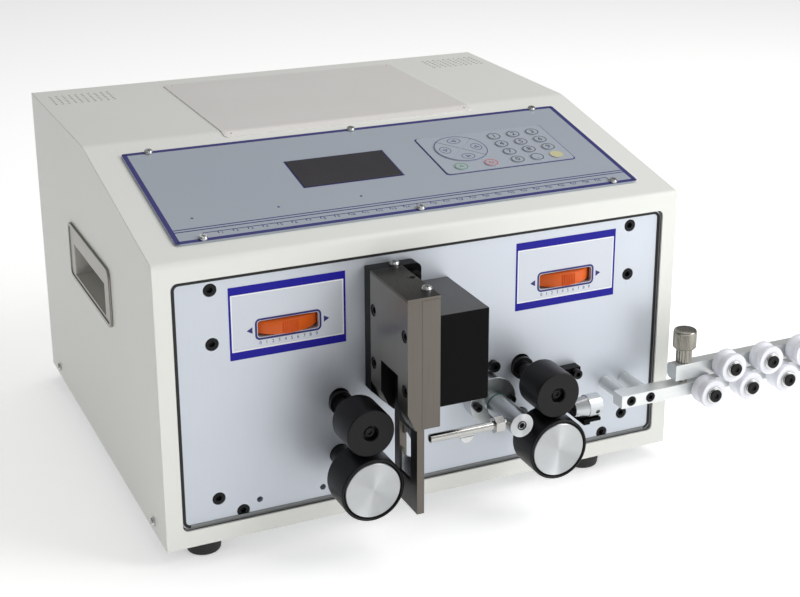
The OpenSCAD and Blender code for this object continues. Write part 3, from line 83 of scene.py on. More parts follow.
Form = bmesh.types.BMesh
Piece = bpy.types.Object
Socket = bpy.types.NodeSocket
FaceTest = Callable[[Vector, Vector], bool]


def case_middle() -> Vector:
    """Returns the middle of the case on the bench, in metres."""
    low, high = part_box("case_shell")
    return Vector(((low.x + high.x) / 2, (low.y + high.y) / 2, 0.0))


MIDDLE = case_middle()


def cad_box(node: str) -> tuple[Vector, Vector]:
    """Gives a CAD node's box in millimetres about the middle of the case.

    Args:
        node: The CAD node's name.

    Returns:
        The lowest and the highest corner.
    """
    low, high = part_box(node)
    return (low - MIDDLE) / MM, (high - MIDDLE) / MM


def cad_middle(node: str) -> Vector:
    """Returns the middle of a CAD node's box, in millimetres about the middle of the case."""
    low, high = cad_box(node)
    return (low + high) / 2


def linear(hex_colour: str) -> tuple[float, float, float, float]:
    """Turns an sRGB hex colour to linear channels.

    Args:
        hex_colour: The colour as "#RRGGBB".

    Returns:
        Red, green, blue and a full alpha.
    """
    shares = [int(hex_colour[i : i + 2], 16) / 255 for i in (1, 3, 5)]
    red, green, blue = [s / 12.92 if s <= 0.04045 else ((s + 0.055) / 1.055) ** 2.4 for s in shares]
    return red, green, blue, 1.0


def add_node(
    tree: bpy.types.NodeTree, kind: str, settings: dict | None = None, inputs: dict | None = None
) -> bpy.types.Node:
    """Adds a node with its settings, values and links.

    Args:
        tree: The material's node tree.
        kind: The node's type name.
        settings: Properties of the node.
        inputs: Values, or sockets to link, by input name or number.

    Returns:
        The new node.
    """
    node = tree.nodes.new(kind)
    for name, value in (settings or {}).items():
        setattr(node, name, value)
    for name, value in (inputs or {}).items():
        if isinstance(value, Socket):
            tree.links.new(value, node.inputs[name])
        else:
            node.inputs[name].default_value = value
    return node


class Grain(Enum):
    """How the fine pattern of a finish runs, as its stretch along X, Y and Z."""

    EVEN = (1.0, 1.0, 1.0)
    ALONG_X = (45.0, 1.0, 1.0)
    ALONG_Y = (1.0, 45.0, 1.0)
    ALONG_Z = (1.0, 1.0, 45.0)
    SPUN = (1.0, 0.0, 1.0)


@dataclass(frozen=True)
class Finish:
    """A real surface: its two near colours, gloss, and the pattern that its making left.

    A pattern finer than the render shows is drawn about as coarse as one pixel.
    """

    name: str
    colour: str
    second: str
    roughness: float
    metallic: float = 0.0
    coat: float = 0.0
    grain: Grain = Grain.EVEN
    grain_mm: float = 1.0
    bump_mm: float = 0.01
    rough_swing: float = 0.06
    drift_mm: float = 70.0
    grain_share: float = 0.4
    specular: float = 0.5
    centre: tuple[float, float, float] = (0.0, 0.0, 0.0)

    def pattern_scale(self) -> tuple[float, float, float]:
        """Returns how many patterns fit in a metre along each axis."""
        return tuple(0.0 if s == 0.0 else 1.0 / (self.grain_mm * MM * s) for s in self.grain.value)


# Sprayed ivory powder coat on sheet steel: a soft satin skin with a fine orange peel
POWDER_COAT = Finish(
    "ivory_powder_coat", "#EAEBE6", "#E4E5DF", 0.42, grain_mm=0.9, bump_mm=0.012, drift_mm=120
)
# Zinc-plated floor sheet: dull grey with cloudy spangle
ZINC_SHEET = Finish("zinc_plated_sheet", "#AEB2B2", "#9DA1A2", 0.42, 1.0, grain_mm=6.0, drift_mm=30)
# Brushed sign plate of stainless steel: fine lines from side to side under a satin sheen
SIGN_STEEL = Finish(
    "brushed_sign_steel", "#FAF7F4", "#EFECE8", 0.36, 0.3, grain=Grain.ALONG_X, grain_mm=0.7, rough_swing=0.1
)
# Brushed and clear anodised front plate: pale bluish metal with upright brush lines
PLATE_ALUMINIUM = Finish(
    "brushed_anodised_aluminium", "#D0D5DD", "#C5CBD4", 0.42, 0.5, grain=Grain.ALONG_Z, grain_mm=0.8,
    bump_mm=0.004, rough_swing=0.05, drift_mm=60
)
# Black oxide on screw heads: oily black that still glints as metal
BLACK_OXIDE = Finish("black_oxide_steel", "#19191B", "#101012", 0.34, 0.4, grain_mm=0.8, specular=0.3)
# Bright zinc screws: pale, clean and glossy
BRIGHT_ZINC = Finish("bright_zinc_steel", "#D6D7D6", "#C2C4C4", 0.24, 1.0, grain_mm=1.2, bump_mm=0.008)
# Drawn stainless handle cups: grey satin with lines along the case
STAINLESS = Finish(
    "satin_stainless_steel", "#A5A39D", "#95938D", 0.36, 1.0, grain=Grain.ALONG_Y, grain_mm=0.6, bump_mm=0.005
)
# Inside of the handle cups: the same stainless painted paler and less metallic than their rims, as a painted
# reflection in the shaded cavity
STAINLESS_PAINTED_CUP_REFLECTION = replace(
    STAINLESS, name="stainless_painted_cup_reflection", colour="#D2D1CC", second="#C6C5C0", metallic=0.35
)
# Moulded rubber feet: matt black with a slight grey bloom
FOOT_RUBBER = Finish("moulded_black_rubber", "#191919", "#222221", 0.68, grain_mm=0.8, bump_mm=0.03)
# Painted gap shade: a matt grey strip standing in for the shaded gap between the plate's silver and the
# case's ivory
GREY_PAINTED_GAP_SHADE = Finish("grey_painted_gap_shade", "#8C8F90", "#838687", 0.6, grain_mm=0.8)
# Green rubber sealing ring: dull and slightly translucent to the eye
GREEN_RUBBER = Finish("green_seal_rubber", "#2F6F68", "#29625C", 0.5, grain_mm=0.6)
# Screen-printed polycarbonate overlay: grey-blue film with a fine texture
PANEL_FILM = Finish(
    "printed_polycarbonate", "#A4ACB6", "#9EA6B1", 0.36, grain_mm=0.6, bump_mm=0.006, drift_mm=90
)
# The keypad's softer film, a little paler than the panel
KEY_FILM = Finish("embossed_key_film", "#A9B0BA", "#A3ABB6", 0.4, grain_mm=0.6, bump_mm=0.006)
# Smoked acrylic window: brown-black and glossy
SMOKED_ACRYLIC = Finish("smoked_acrylic", "#353337", "#302E32", 0.16, grain_mm=20, bump_mm=0.0, specular=0.35)
# Screen inks: thin, even and nearly matt
NAVY_INK = Finish("navy_screen_ink", "#221D74", "#1E1A6A", 0.5, grain_mm=0.5, bump_mm=0.003)
BLACK_INK = replace(NAVY_INK, name="black_screen_ink", colour="#2A2B33", second="#232429")
WHITE_INK = replace(NAVY_INK, name="white_screen_ink", colour="#F1F1F3", second="#EAEAED")
GREEN_INK = replace(NAVY_INK, name="green_screen_ink", colour="#5B9E6C", second="#549565")
RED_INK = replace(NAVY_INK, name="red_screen_ink", colour="#CF5156", second="#C4494E")
YELLOW_INK = replace(NAVY_INK, name="pale_yellow_screen_ink", colour="#CBC79A", second="#C3BF92")
# The royal blue of the labels' bars: a little glossier in itself, with less shine over it
ROYAL_INK = replace(
    NAVY_INK, name="royal_blue_screen_ink", colour="#1A149A", second="#17128C", roughness=0.46, specular=0.2
)
# Silver vinyl labels round the dials: whiter and smoother than the plate under them
SILVER_VINYL = Finish("silver_vinyl", "#CFD4DC", "#C8CDD6", 0.38, 0.35, grain_mm=0.8, bump_mm=0.004)
# Moulded orange ABS wheels: warm, with a slight moulding sheen
ORANGE_ABS = Finish("orange_abs", "#DC6014", "#D0560E", 0.36, grain_mm=0.7, bump_mm=0.012, specular=0.35)
# Surface-ground tool steel: warm grey with long upright grinding lines and faint stains
GROUND_STEEL = Finish(
    "ground_tool_steel", "#726D67", "#605C56", 0.36, 1.0, grain=Grain.ALONG_Z, grain_mm=0.8, bump_mm=0.006,
    rough_swing=0.1, drift_mm=35
)
# The column's left side: the same ground steel painted paler than its front, as painted light on that side
GROUND_STEEL_PAINTED_SIDE_LIGHT = replace(GROUND_STEEL, name="ground_tool_steel_painted_side_light", colour="#96948C", second="#807E77")
# Blued steel of the column's cap: darker, with worn patches; on the blade holders' left faces it is painted
# shade inside the window
BLUED_STEEL = Finish(
    "blued_steel", "#312F2D", "#262524", 0.34, 1.0, grain_mm=1.5, rough_swing=0.12, drift_mm=18
)
# Black anodised blocks: deep satin black
BLACK_ANODISED = Finish(
    "black_anodised_aluminium", "#070708", "#0C0C0D", 0.3, grain_mm=0.8, bump_mm=0.008, specular=0.06
)
# The cover's top, its black painted to a grey sheen: a painted reflection of the light above it
BLACK_PAINTED_TOP_REFLECTION = Finish(
    "black_paint_painted_top_reflection", "#46474A", "#37383A", 0.4, grain_mm=0.9, bump_mm=0.008, drift_mm=15
)
# Turned black urethane rollers: matt, with fine lathe lines round them
BLACK_URETHANE = Finish(
    "turned_black_urethane", "#0E0D0F", "#141315", 0.38, grain=Grain.ALONG_X, grain_mm=0.7, specular=0.22
)
# Lathe-faced aluminium discs: rings of fine lines that throw fan-shaped glints under the lamps, with painted
# glints as fans in the colour
SPUN_ALUMINIUM = Finish(
    "lathe_faced_aluminium", "#C4C6C7", "#B2B5B7", 0.34, 1.0, grain=Grain.SPUN, grain_mm=0.45, bump_mm=0.004,
    grain_share=0.15
)
# Satin aluminium of the guide arm and the inlet: pale grey, soft glints
SATIN_ALUMINIUM = Finish("satin_aluminium", "#C7CACB", "#B8BCBE", 0.32, 1.0, grain_mm=0.8, bump_mm=0.006)
# Polished steel tube and shafts: bright, with stretched reflections
POLISHED_STEEL = Finish("polished_steel", "#BDBCB9", "#AEADAA", 0.22, 1.0, grain_mm=1.5, bump_mm=0.003)
# Zinc-plated bars: pale metal with a slightly cloudy skin along their length
ZINC_BAR = Finish(
    "zinc_plated_bar", "#EDEFEE", "#D2D6D6", 0.32, 0.6, grain=Grain.ALONG_X, grain_mm=0.7, bump_mm=0.006,
    drift_mm=16
)
# White nylon rollers: clean, faintly blue, with a waxy sheen
WHITE_NYLON = Finish("white_nylon", "#EDEEF4", "#E6E7EE", 0.4, coat=0.15, grain_mm=0.8, bump_mm=0.006)
# Nickel-plated knobs: warm metal, a little dulled by fingers
NICKEL = Finish(
    "nickel_plated_steel", "#A6A39B", "#918E86", 0.28, 1.0, grain_mm=0.9, bump_mm=0.008, drift_mm=8
)
# Hardened blades: bright ground edge
BLADE_STEEL = Finish(
    "hardened_blade_steel", "#C9CACA", "#B4B6B7", 0.22, 1.0, grain=Grain.ALONG_Z, grain_mm=0.6
)
# Bare machined blocks inside the case: pale grey with cutter lines along them
MACHINED_ALUMINIUM = Finish("machined_aluminium", "#C2C5C8", "#B4B7BA", 0.38, 1.0, grain=Grain.ALONG_X)
# Painted motor bodies: dull black with a fine spray texture
MOTOR_PAINT = Finish("black_motor_paint", "#1E1E20", "#28282A", 0.5, bump_mm=0.02)
# Solder-masked circuit boards: mottled green under a thin gloss
CIRCUIT_GREEN = Finish("solder_mask_green", "#2E6B45", "#3D7A52", 0.38, coat=0.3, grain_mm=3.0, drift_mm=12)
# Moulded black nylon of the mains socket: dull, with a fine spark texture
BLACK_NYLON = Finish("moulded_black_nylon", "#1A1A1B", "#212122", 0.45, grain_mm=0.7, bump_mm=0.015)
# Red rocker of the mains switch: glossy and even
RED_ROCKER = Finish("red_polycarbonate", "#B9281F", "#AA2019", 0.28, coat=0.3, grain_mm=0.8, bump_mm=0.006)


class Pattern:
    """The fine grain and the slow drift of a finish, on Object coordinates."""

    grain_detail: float = 3.0
    slow_detail: float = 2.0
    fan_scale: float = 1.0
    fan_soft: tuple[float, float] = (0.15, 0.85)

    def __init__(self, tree: bpy.types.NodeTree, finish: Finish) -> None:
        """Scales the coordinates to the grain, about the turned centre where there is one.

        Args:
            tree: The material's nodes.
            finish: The finish to show.
        """
        self.tree = tree
        self.finish = finish
        self.spun = finish.grain is Grain.SPUN
        self.place = add_node(tree, "ShaderNodeTexCoord").outputs["Object"]
        scale = finish.pattern_scale()
        centre = MIDDLE + Vector(finish.centre) * MM
        shift = [-c * s for c, s in zip(centre, scale)] if self.spun else (0.0, 0.0, 0.0)
        scaled = {"Vector": self.place, "Scale": scale, "Location": shift}
        self.mapped = add_node(tree, "ShaderNodeMapping", inputs=scaled).outputs["Vector"]

    def noise(self, settings: dict | None = None, **inputs) -> Socket:
        """Returns a noise node's value, from 0 to 1."""
        return add_node(self.tree, "ShaderNodeTexNoise", settings, inputs).outputs["Fac"]

    def grain(self) -> Socket:
        """Builds the fine pattern: even or stretched noise, or rings about the turned centre.

        Returns:
            The socket that carries it.
        """
        if not self.spun:
            return self.noise(Vector=self.mapped, Scale=1.0, Detail=self.grain_detail)
        radius = add_node(self.tree, "ShaderNodeVectorMath", {"operation": "LENGTH"}, {0: self.mapped})
        along = radius.outputs["Value"]
        return self.noise({"noise_dimensions": "1D"}, W=along, Scale=1.0, Detail=self.slow_detail)

    def drift(self) -> Socket:
        """Builds the slow change of colour: clouds, or painted glints in fans about the turned centre.

        Returns:
            The socket that carries it.
        """
        if not self.spun:
            scale = 1 / (self.finish.drift_mm * MM)
            return self.noise(Vector=self.place, Scale=scale, Detail=self.slow_detail)
        # On a turned disc the colour takes painted glints: brighter and darker fans by angle.
        outward = add_node(self.tree, "ShaderNodeVectorMath", {"operation": "NORMALIZE"}, {0: self.mapped})
        painted_glints = self.noise(
            Vector=outward.outputs["Vector"], Scale=self.fan_scale, Detail=self.grain_detail
        )
        low, high = self.fan_soft
        soft = {"Value": painted_glints, "From Min": low, "From Max": high}
        return add_node(self.tree, "ShaderNodeMapRange", inputs=soft).outputs["Result"]


class Paintbox:
    """Makes each finish's material once."""

    bump_strength: float = 0.6
    spun_anisotropy: float = 0.95
    quarter_turn: float = 0.25

    def __init__(self) -> None:
        """Starts with no material made."""
        self.made: dict[str, bpy.types.Material] = {}

    def material(self, finish: Finish) -> bpy.types.Material:
        """Gives the material of a finish.

        Args:
            finish: The finish to show.

        Returns:
            Its material, the same one at each call.
        """
        if finish.name not in self.made:
            self.made[finish.name] = self._mix(finish)
        return self.made[finish.name]

    def _mix(self, finish: Finish) -> bpy.types.Material:
        """Builds a finish's nodes: grain and slow drift for the colour, grain for gloss and bump.

        Args:
            finish: The finish to show.

        Returns:
            The new material.
        """
        material = bpy.data.materials.new(finish.name)
        material.use_nodes = True
        material.diffuse_color = linear(finish.colour)
        tree = material.node_tree
        shader = tree.nodes["Principled BSDF"]
        shader.inputs["Metallic"].default_value = finish.metallic
        shader.inputs["Coat Weight"].default_value = finish.coat
        shader.inputs["Specular IOR Level"].default_value = finish.specular
        pattern = Pattern(tree, finish)
        grain, drift = pattern.grain(), pattern.drift()
        share = add_node(tree, "ShaderNodeMix", inputs={0: finish.grain_share, 2: drift, 3: grain})
        colour = add_node(
            tree,
            "ShaderNodeMix",
            {"data_type": "RGBA"},
            {0: share.outputs[0], 6: linear(finish.colour), 7: linear(finish.second)},
        )
        gloss = add_node(
            tree,
            "ShaderNodeMapRange",
            inputs={
                "Value": grain,
                "To Min": finish.roughness - finish.rough_swing,
                "To Max": finish.roughness + finish.rough_swing,
            },
        )
        tree.links.new(colour.outputs[2], shader.inputs["Base Color"])
        tree.links.new(gloss.outputs["Result"], shader.inputs["Roughness"])
        if finish.bump_mm > 0:
            relief = add_node(
                tree,
                "ShaderNodeBump",
                inputs={"Height": grain, "Strength": self.bump_strength, "Distance": finish.bump_mm * MM},
            )
            tree.links.new(relief.outputs["Normal"], shader.inputs["Normal"])
        if finish.grain is Grain.SPUN:
            turn = add_node(tree, "ShaderNodeTangent", {"direction_type": "RADIAL", "axis": "Y"})
            tree.links.new(turn.outputs["Tangent"], shader.inputs["Tangent"])
            shader.inputs["Anisotropic"].default_value = self.spun_anisotropy
            shader.inputs["Anisotropic Rotation"].default_value = self.quarter_turn
        return material

def facing_front(x: float, y: float, z: float) -> Matrix:
    """Gives a drawing place that faces the front.

    Args:
        x: The drawing's origin from side to side.
        y: The drawing's plane.
        z: The drawing's origin in height.

    Returns:
        A matrix whose X runs right, Y up and Z towards the front.
    """
    return Matrix.Translation((x, y, z)) @ Matrix.Rotation(math.radians(90), 4, "X")


def upright(x: float, y: float, z: float) -> Matrix:
    """Returns a place at a point, with no turn."""
    return Matrix.Translation((x, y, z))


def sheet(width: float, height: float, corner: float, thickness: float, rim: float = 0.0) -> Form:
    """Cuts a rounded rectangle, or its rim alone, from thin sheet.

    Args:
        width: Its size along X.
        height: Its size along Y.
        corner: The radius of its corners.
        thickness: How far it rises from the plane.
        rim: The width of the strip that is kept, or 0 for the full sheet.

    Returns:
        The sheet about the origin.
    """
    form = bmesh.new()
    bmesh.ops.create_grid(form, x_segments=1, y_segments=1, size=0.5)
    bmesh.ops.scale(form, vec=(width, height, 1.0), verts=form.verts[:])
    if corner > 0:
        bmesh.ops.bevel(
            form, geom=form.verts[:], offset=corner, segments=6, profile=0.5, material=-1, affect="VERTICES"
        )
    return raise_outline(form, thickness, rim)


def disc(radius: float, thickness: float, rim: float = 0.0, sides: int = 40) -> Form:
    """Cuts a disc, a ring or a regular outline from thin sheet.

    Args:
        radius: Its outer radius.
        thickness: How far it rises from the plane.
        rim: The width of the ring that is kept, or 0 for the full disc.
        sides: The number of corners of its outline.

    Returns:
        The disc about the origin.
    """
    form = bmesh.new()
    bmesh.ops.create_circle(form, cap_ends=True, segments=sides, radius=radius)
    return raise_outline(form, thickness, rim)


def raise_outline(form: Form, thickness: float, rim: float) -> Form:
    """Gives a flat face its thickness, after keeping only its rim where that is asked.

    Args:
        form: A mesh with one flat face.
        thickness: How far it rises from the plane.
        rim: The width of the strip that is kept, or 0 for the full face.

    Returns:
        The same mesh, raised.
    """
    if rim > 0:
        inner = form.faces[:]
        bmesh.ops.inset_region(form, faces=inner, thickness=rim, use_even_offset=True, use_boundary=True)
        bmesh.ops.delete(form, geom=inner, context="FACES")
    flat = form.faces[:]
    raised = bmesh.ops.extrude_face_region(form, geom=flat, use_keep_orig=True)["geom"]
    tops = [g for g in raised if isinstance(g, bmesh.types.BMVert)]
    bmesh.ops.translate(form, vec=(0.0, 0.0, thickness), verts=tops)
    return form


def turned(profile: Sequence[tuple[float, float]], steps: int = 72) -> Form:
    """Turns a profile about Z.

    Args:
        profile: Radius and height of each point.
        steps: The number of facets round it.

    Returns:
        The turned form.
    """
    form = bmesh.new()
    points = [form.verts.new((radius, 0.0, height)) for radius, height in profile]
    lines = [form.edges.new(pair) for pair in zip(points, points[1:])]
    bmesh.ops.spin(
        form, geom=points + lines, cent=(0, 0, 0), axis=(0, 0, 1), angle=math.tau, steps=steps, use_merge=True
    )
    return form


def fluted(
    levels: Sequence[tuple[float, float, float]], ribs: int, zones: int = 1, share: float = 1.0
) -> Form:
    """Makes a round form with ribs along Z, all round it or in equal zones.

    Args:
        levels: Height, radius and rib depth of each ring, from the bottom.
        ribs: The number of ribs that fit round it.
        zones: The number of ribbed zones.
        share: The share of each zone that is ribbed, the first one towards the front.

    Returns:
        The ribbed form about the origin.
    """
    form = bmesh.new()
    per_rib = 4
    count = ribs * per_rib
    bmesh.ops.create_circle(form, cap_ends=False, segments=count, radius=1.0)
    ring = form.edges[:]
    for number, (height, radius, depth) in enumerate(levels):
        if number:
            made = bmesh.ops.extrude_edge_only(form, edges=ring)["geom"]
            ring = [g for g in made if isinstance(g, bmesh.types.BMEdge)]
            ring = [e for e in ring if all(v in made for v in e.verts)]
        for vert in {v for e in ring for v in e.verts}:
            step = round(math.atan2(vert.co.y, vert.co.x) / math.tau * count) % count
            angle = step * math.tau / count
            turn = ((angle + math.pi / 2) / math.tau * zones + 0.5) % 1.0 - 0.5
            low = step % per_rib >= per_rib / 2 and abs(turn) <= share / 2
            reach = radius - depth if low else radius
            vert.co = (reach * math.cos(angle), reach * math.sin(angle), height)
    bmesh.ops.holes_fill(form, edges=form.edges[:], sides=0)
    return form


def lettering(text: str, height: float, thickness: float) -> Form:
    """Sets figures as a mesh, centred on the origin.

    Args:
        text: The figures or signs.
        height: The height of a figure.
        thickness: How far they rise from the plane.

    Returns:
        The figures.
    """
    font = bpy.data.curves.new("figures", "FONT")
    font.body = text
    font.align_x = "CENTER"
    font.align_y = "CENTER"
    font.resolution_u = 3
    carrier = bpy.data.objects.new("figures", font)
    bpy.context.scene.collection.objects.link(carrier)
    flat = bpy.data.meshes.new_from_object(carrier.evaluated_get(bpy.context.evaluated_depsgraph_get()))
    bpy.data.objects.remove(carrier)
    form = bmesh.new()
    form.from_mesh(flat)
    bpy.data.meshes.remove(flat)
    bmesh.ops.remove_doubles(form, verts=form.verts[:], dist=0.0001)
    cap_height = 0.7
    bmesh.ops.scale(form, vec=(height / cap_height, height / cap_height, 1.0), verts=form.verts[:])
    return raise_outline(form, thickness, 0.0)


class Workpiece:
    """A mesh in the making, in millimetres about the middle of the case."""

    def __init__(self, name: str) -> None:
        """Starts an empty mesh.

        Args:
            name: The finished piece's name.
        """
        self.name = name
        self.form = bmesh.new()

    def add(self, part: Form, place: Matrix) -> "Workpiece":
        """Adds a closed form at its place, with its faces outwards.

        Args:
            part: The form, which is used up.
            place: Where it goes.

        Returns:
            This workpiece.
        """
        bmesh.ops.remove_doubles(part, verts=part.verts[:], dist=0.0005)
        bmesh.ops.transform(part, matrix=place, verts=part.verts[:])
        bmesh.ops.recalc_face_normals(part, faces=part.faces[:])
        carried = bpy.data.meshes.new("carried")
        part.to_mesh(carried)
        part.free()
        self.form.from_mesh(carried)
        bpy.data.meshes.remove(carried)
        return self

    def finish(self, material: bpy.types.Material, smooth_deg: float = 32.0) -> Piece:
        """Puts the mesh in the frame, in metres, with its material.

        Args:
            material: The piece's material.
            smooth_deg: Edges sharper than this stay sharp.

        Returns:
            The piece, which rides on nothing yet.
        """
        place = Matrix.Translation(MIDDLE) @ Matrix.Diagonal((MM, MM, MM, 1.0))
        bmesh.ops.transform(self.form, matrix=place, verts=self.form.verts[:])
        return mesh_piece(self.name, self.form, material, smooth_deg)


def mesh_piece(name: str, form: Form, material: bpy.types.Material, smooth_deg: float) -> Piece:
    """Makes a scene object from a mesh that is already in its place.

    Args:
        name: The object's name.
        form: The mesh, in metres, which is used up.
        material: The object's material.
        smooth_deg: Edges sharper than this stay sharp.

    Returns:
        The object.
    """
    mesh = bpy.data.meshes.new(name)
    form.to_mesh(mesh)
    form.free()
    mesh.materials.append(material)
    mesh.shade_smooth()
    mesh.set_sharp_from_angle(angle=math.radians(smooth_deg))
    piece = bpy.data.objects.new(name, mesh)
    bpy.context.scene.collection.objects.link(piece)
    return piece


@dataclass(frozen=True)
class Eased:
    """CAD nodes that get eased copies: their names, finish, width of the easing and slot."""

    nodes: str
    finish: Finish
    width: float
    slot: str


@dataclass
class SubAssembly:
    """What every sub-assembly of the machine shares."""

    parts: ClassVar[tuple[Eased, ...]] = ()
    sharp_deg: ClassVar[float] = 32.0
    flat_deg: ClassVar[float] = 0.5
    smooth_deg: ClassVar[float] = 46.0
    weld: ClassVar[float] = 0.002

    paints: Paintbox

    def soften_parts(self) -> None:
        """Stands eased copies in for the nodes of the parts list."""
        for part in self.parts:
            for node in part.nodes.split():
                self.soften(node, part.finish, part.width, part.slot)

    def soften(
        self,
        node: str,
        finish: Finish,
        width: float,
        slot: str,
        folds: Callable[[bmesh.types.BMEdge], bool] | None = None,
        fold_r: float = 0.0,
        accents: Sequence[tuple[Finish, FaceTest]] = (),
    ) -> Piece:
        """Stands a copy of a CAD node in for it, with its sharp edges eased.

        Args:
            node: The CAD node.
            finish: The finish of the copy.
            width: How far the edges are eased.
            slot: The record's material slot.
            folds: Picks the edges that are folded wider.
            fold_r: The radius of those folds.
            accents: Further finishes, each with the test of place and normal for its faces.

        Returns:
            The finished piece.
        """
        source = frame["nodes"][node]
        form = bmesh.new()
        form.from_mesh(source.data)
        bmesh.ops.remove_doubles(form, verts=form.verts[:], dist=self.weld * MM)
        bmesh.ops.dissolve_limit(
            form, angle_limit=math.radians(self.flat_deg), verts=form.verts[:], edges=form.edges[:]
        )
        if folds is not None:
            self._ease(form, [e for e in form.edges if folds(e)], fold_r, 5)
        sharp_from = math.radians(self.sharp_deg)
        sharp = [e for e in form.edges if e.is_manifold and e.calc_face_angle(0.0) > sharp_from]
        self._ease(form, sharp, width, 2)
        self._pick(form, [test for _, test in accents])
        piece = mesh_piece(node + "_eased", form, self.paints.material(finish), self.smooth_deg)
        for extra, _ in accents:
            piece.data.materials.append(self.paints.material(extra))
        even = piece.modifiers.new("even_faces", "WEIGHTED_NORMAL")
        even.keep_sharp = True
        return self.place(piece, source["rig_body"], slot, node)

    @staticmethod
    def _ease(form: Form, edges: list, width: float, segments: int) -> None:
        """Rounds some edges of a mesh.

        Args:
            form: The mesh, in metres.
            edges: The edges to round.
            width: How far, in millimetres.
            segments: The steps of the rounding.
        """
        bmesh.ops.bevel(
            form, geom=edges, offset=width * MM, offset_type="OFFSET", segments=segments, profile=0.5,
            material=-1, affect="EDGES", clamp_overlap=True,
        )

    @staticmethod
    def _pick(form: Form, tests: Sequence[FaceTest]) -> None:
        """Marks the faces that take one of a piece's further finishes.

        Args:
            form: The mesh, in metres.
            tests: Tell it from a face's middle, in millimetres, and its normal.
        """
        form.normal_update()
        for face in form.faces:
            middle = (face.calc_center_median() - MIDDLE) / MM
            passed = [number for number, test in enumerate(tests, 1) if test(middle, face.normal)]
            face.material_index = passed[0] if passed else 0

    @staticmethod
    def is_top(middle: Vector, normal: Vector) -> bool:
        """Tells whether a face looks up."""
        return normal.z > 0.9

    @staticmethod
    def is_left(middle: Vector, normal: Vector) -> bool:
        """Tells whether a face looks to the left."""
        return normal.x < -0.9

    def dress(self, finish: Finish, *nodes: str) -> None:
        """Gives CAD nodes that keep their own mesh a better material.

        Args:
            finish: The finish to show.
            nodes: The CAD nodes.
        """
        for node in nodes:
            slots = frame["nodes"][node].material_slots
            for slot in slots:
                slot.material = self.paints.material(finish)
            if not slots:
                frame["nodes"][node].data.materials.append(self.paints.material(finish))

    def place(self, piece: Piece, body: str, slot: str, *nodes: str) -> Piece:
        """Lets a finished piece ride on its body.

        Args:
            piece: The piece.
            body: The CAD body.
            slot: The record's material slot. Not used.
            nodes: The CAD nodes that it stands for.

        Returns:
            The piece.
        """
        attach(piece, body)
        if nodes:
            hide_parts(*nodes)
        log.info("%s rides on %s", piece.name, body)
        return piece

    def mount(
        self, work: Workpiece, finish: Finish, slot: str, body: str = "chassis", *nodes: str
    ) -> Piece:
        """Finishes a made piece, such as a print, a screw or a spring.

        Args:
            work: The piece's mesh.
            finish: Its finish.
            slot: The record's material slot.
            body: The CAD body that carries it.
            nodes: The CAD nodes that it stands for, if any.

        Returns:
            The piece.
        """
        return self.place(work.finish(self.paints.material(finish)), body, slot, *nodes)


@dataclass
class CaseBody(SubAssembly):
    """The folded sheet case with its tray, rear panel, sign plate, handles and feet."""

    parts = (
        Eased("rear_panel", POWDER_COAT, 0.4, "case_paint"),
        Eased("base_tray", ZINC_SHEET, 0.2, "zinc_sheet"),
        Eased("top_plate", SIGN_STEEL, 0.2, "sign_steel"),
        Eased("rubber_feet", FOOT_RUBBER, 0.9, "foot_rubber"),
        Eased("case_screws", BRIGHT_ZINC, 0.25, "bright_screws"),
    )
    fold_r: float = 2.2
    sheet_edge: float = 0.4
    near: float = 0.01
    skirt: float = 2.5
    rim_corner: float = 6.0
    bead_w: float = 2.4
    bead_h: float = 0.7

    def build(self) -> None:
        """Dresses every piece of the case."""
        self.low, self.high = cad_box("case_shell")
        self.soften("case_shell", POWDER_COAT, self.sheet_edge, "case_paint", self.is_side_fold, self.fold_r)
        # The cups' insides take a painted reflection, paler than their rims.
        cups = (STAINLESS_PAINTED_CUP_REFLECTION, self.is_cup)
        self.soften("carry_handles", STAINLESS, self.sheet_edge, "handle_steel", accents=(cups,))
        self.raise_rims()
        self.soften_parts()

    def is_side_fold(self, edge: bmesh.types.BMEdge) -> bool:
        """Tells whether an edge is on the outline of a side of the case.

        Args:
            edge: An edge of the case's copy, in metres.

        Returns:
            True where it is folded, and False at the cut-outs in the sides.
        """
        if not edge.is_manifold:
            return False
        for vert in edge.verts:
            at = (vert.co - MIDDLE) / MM
            if abs(abs(at.x) - self.high.x) > self.near:
                return False
            top = at.z > self.slope_height(at.y) - self.skirt
            front = at.y < self.low.y + self.near
            if not (top or front):
                return False
        return True

    def is_cup(self, middle: Vector, normal: Vector) -> bool:
        """Tells whether a face of the handles is inside the case's side."""
        return abs(middle.x) < self.high.x - self.sheet_edge

    def raise_rims(self) -> None:
        """Raises the pressed bead round each handle's rim."""
        low, high = cad_box("carry_handles")
        middle = (low + high) / 2
        work = Workpiece("handle_beads")
        for side, x in ((-1, low.x), (1, high.x)):
            turn = Matrix.Rotation(side * math.pi / 2, 4, "Z") @ Matrix.Rotation(math.pi / 2, 4, "X")
            bead = sheet(high.y - low.y, high.z - low.z, self.rim_corner, self.bead_h, self.bead_w)
            work.add(bead, upright(x, middle.y, middle.z) @ turn)
        self.mount(work, STAINLESS, "handle_steel")

    def slope_height(self, y: float) -> float:
        """Returns the height of the case's upper outline at a depth."""
        return min(self.high.z, ControlPanel.front_z + (y - ControlPanel.front_y) * ControlPanel.tilt())


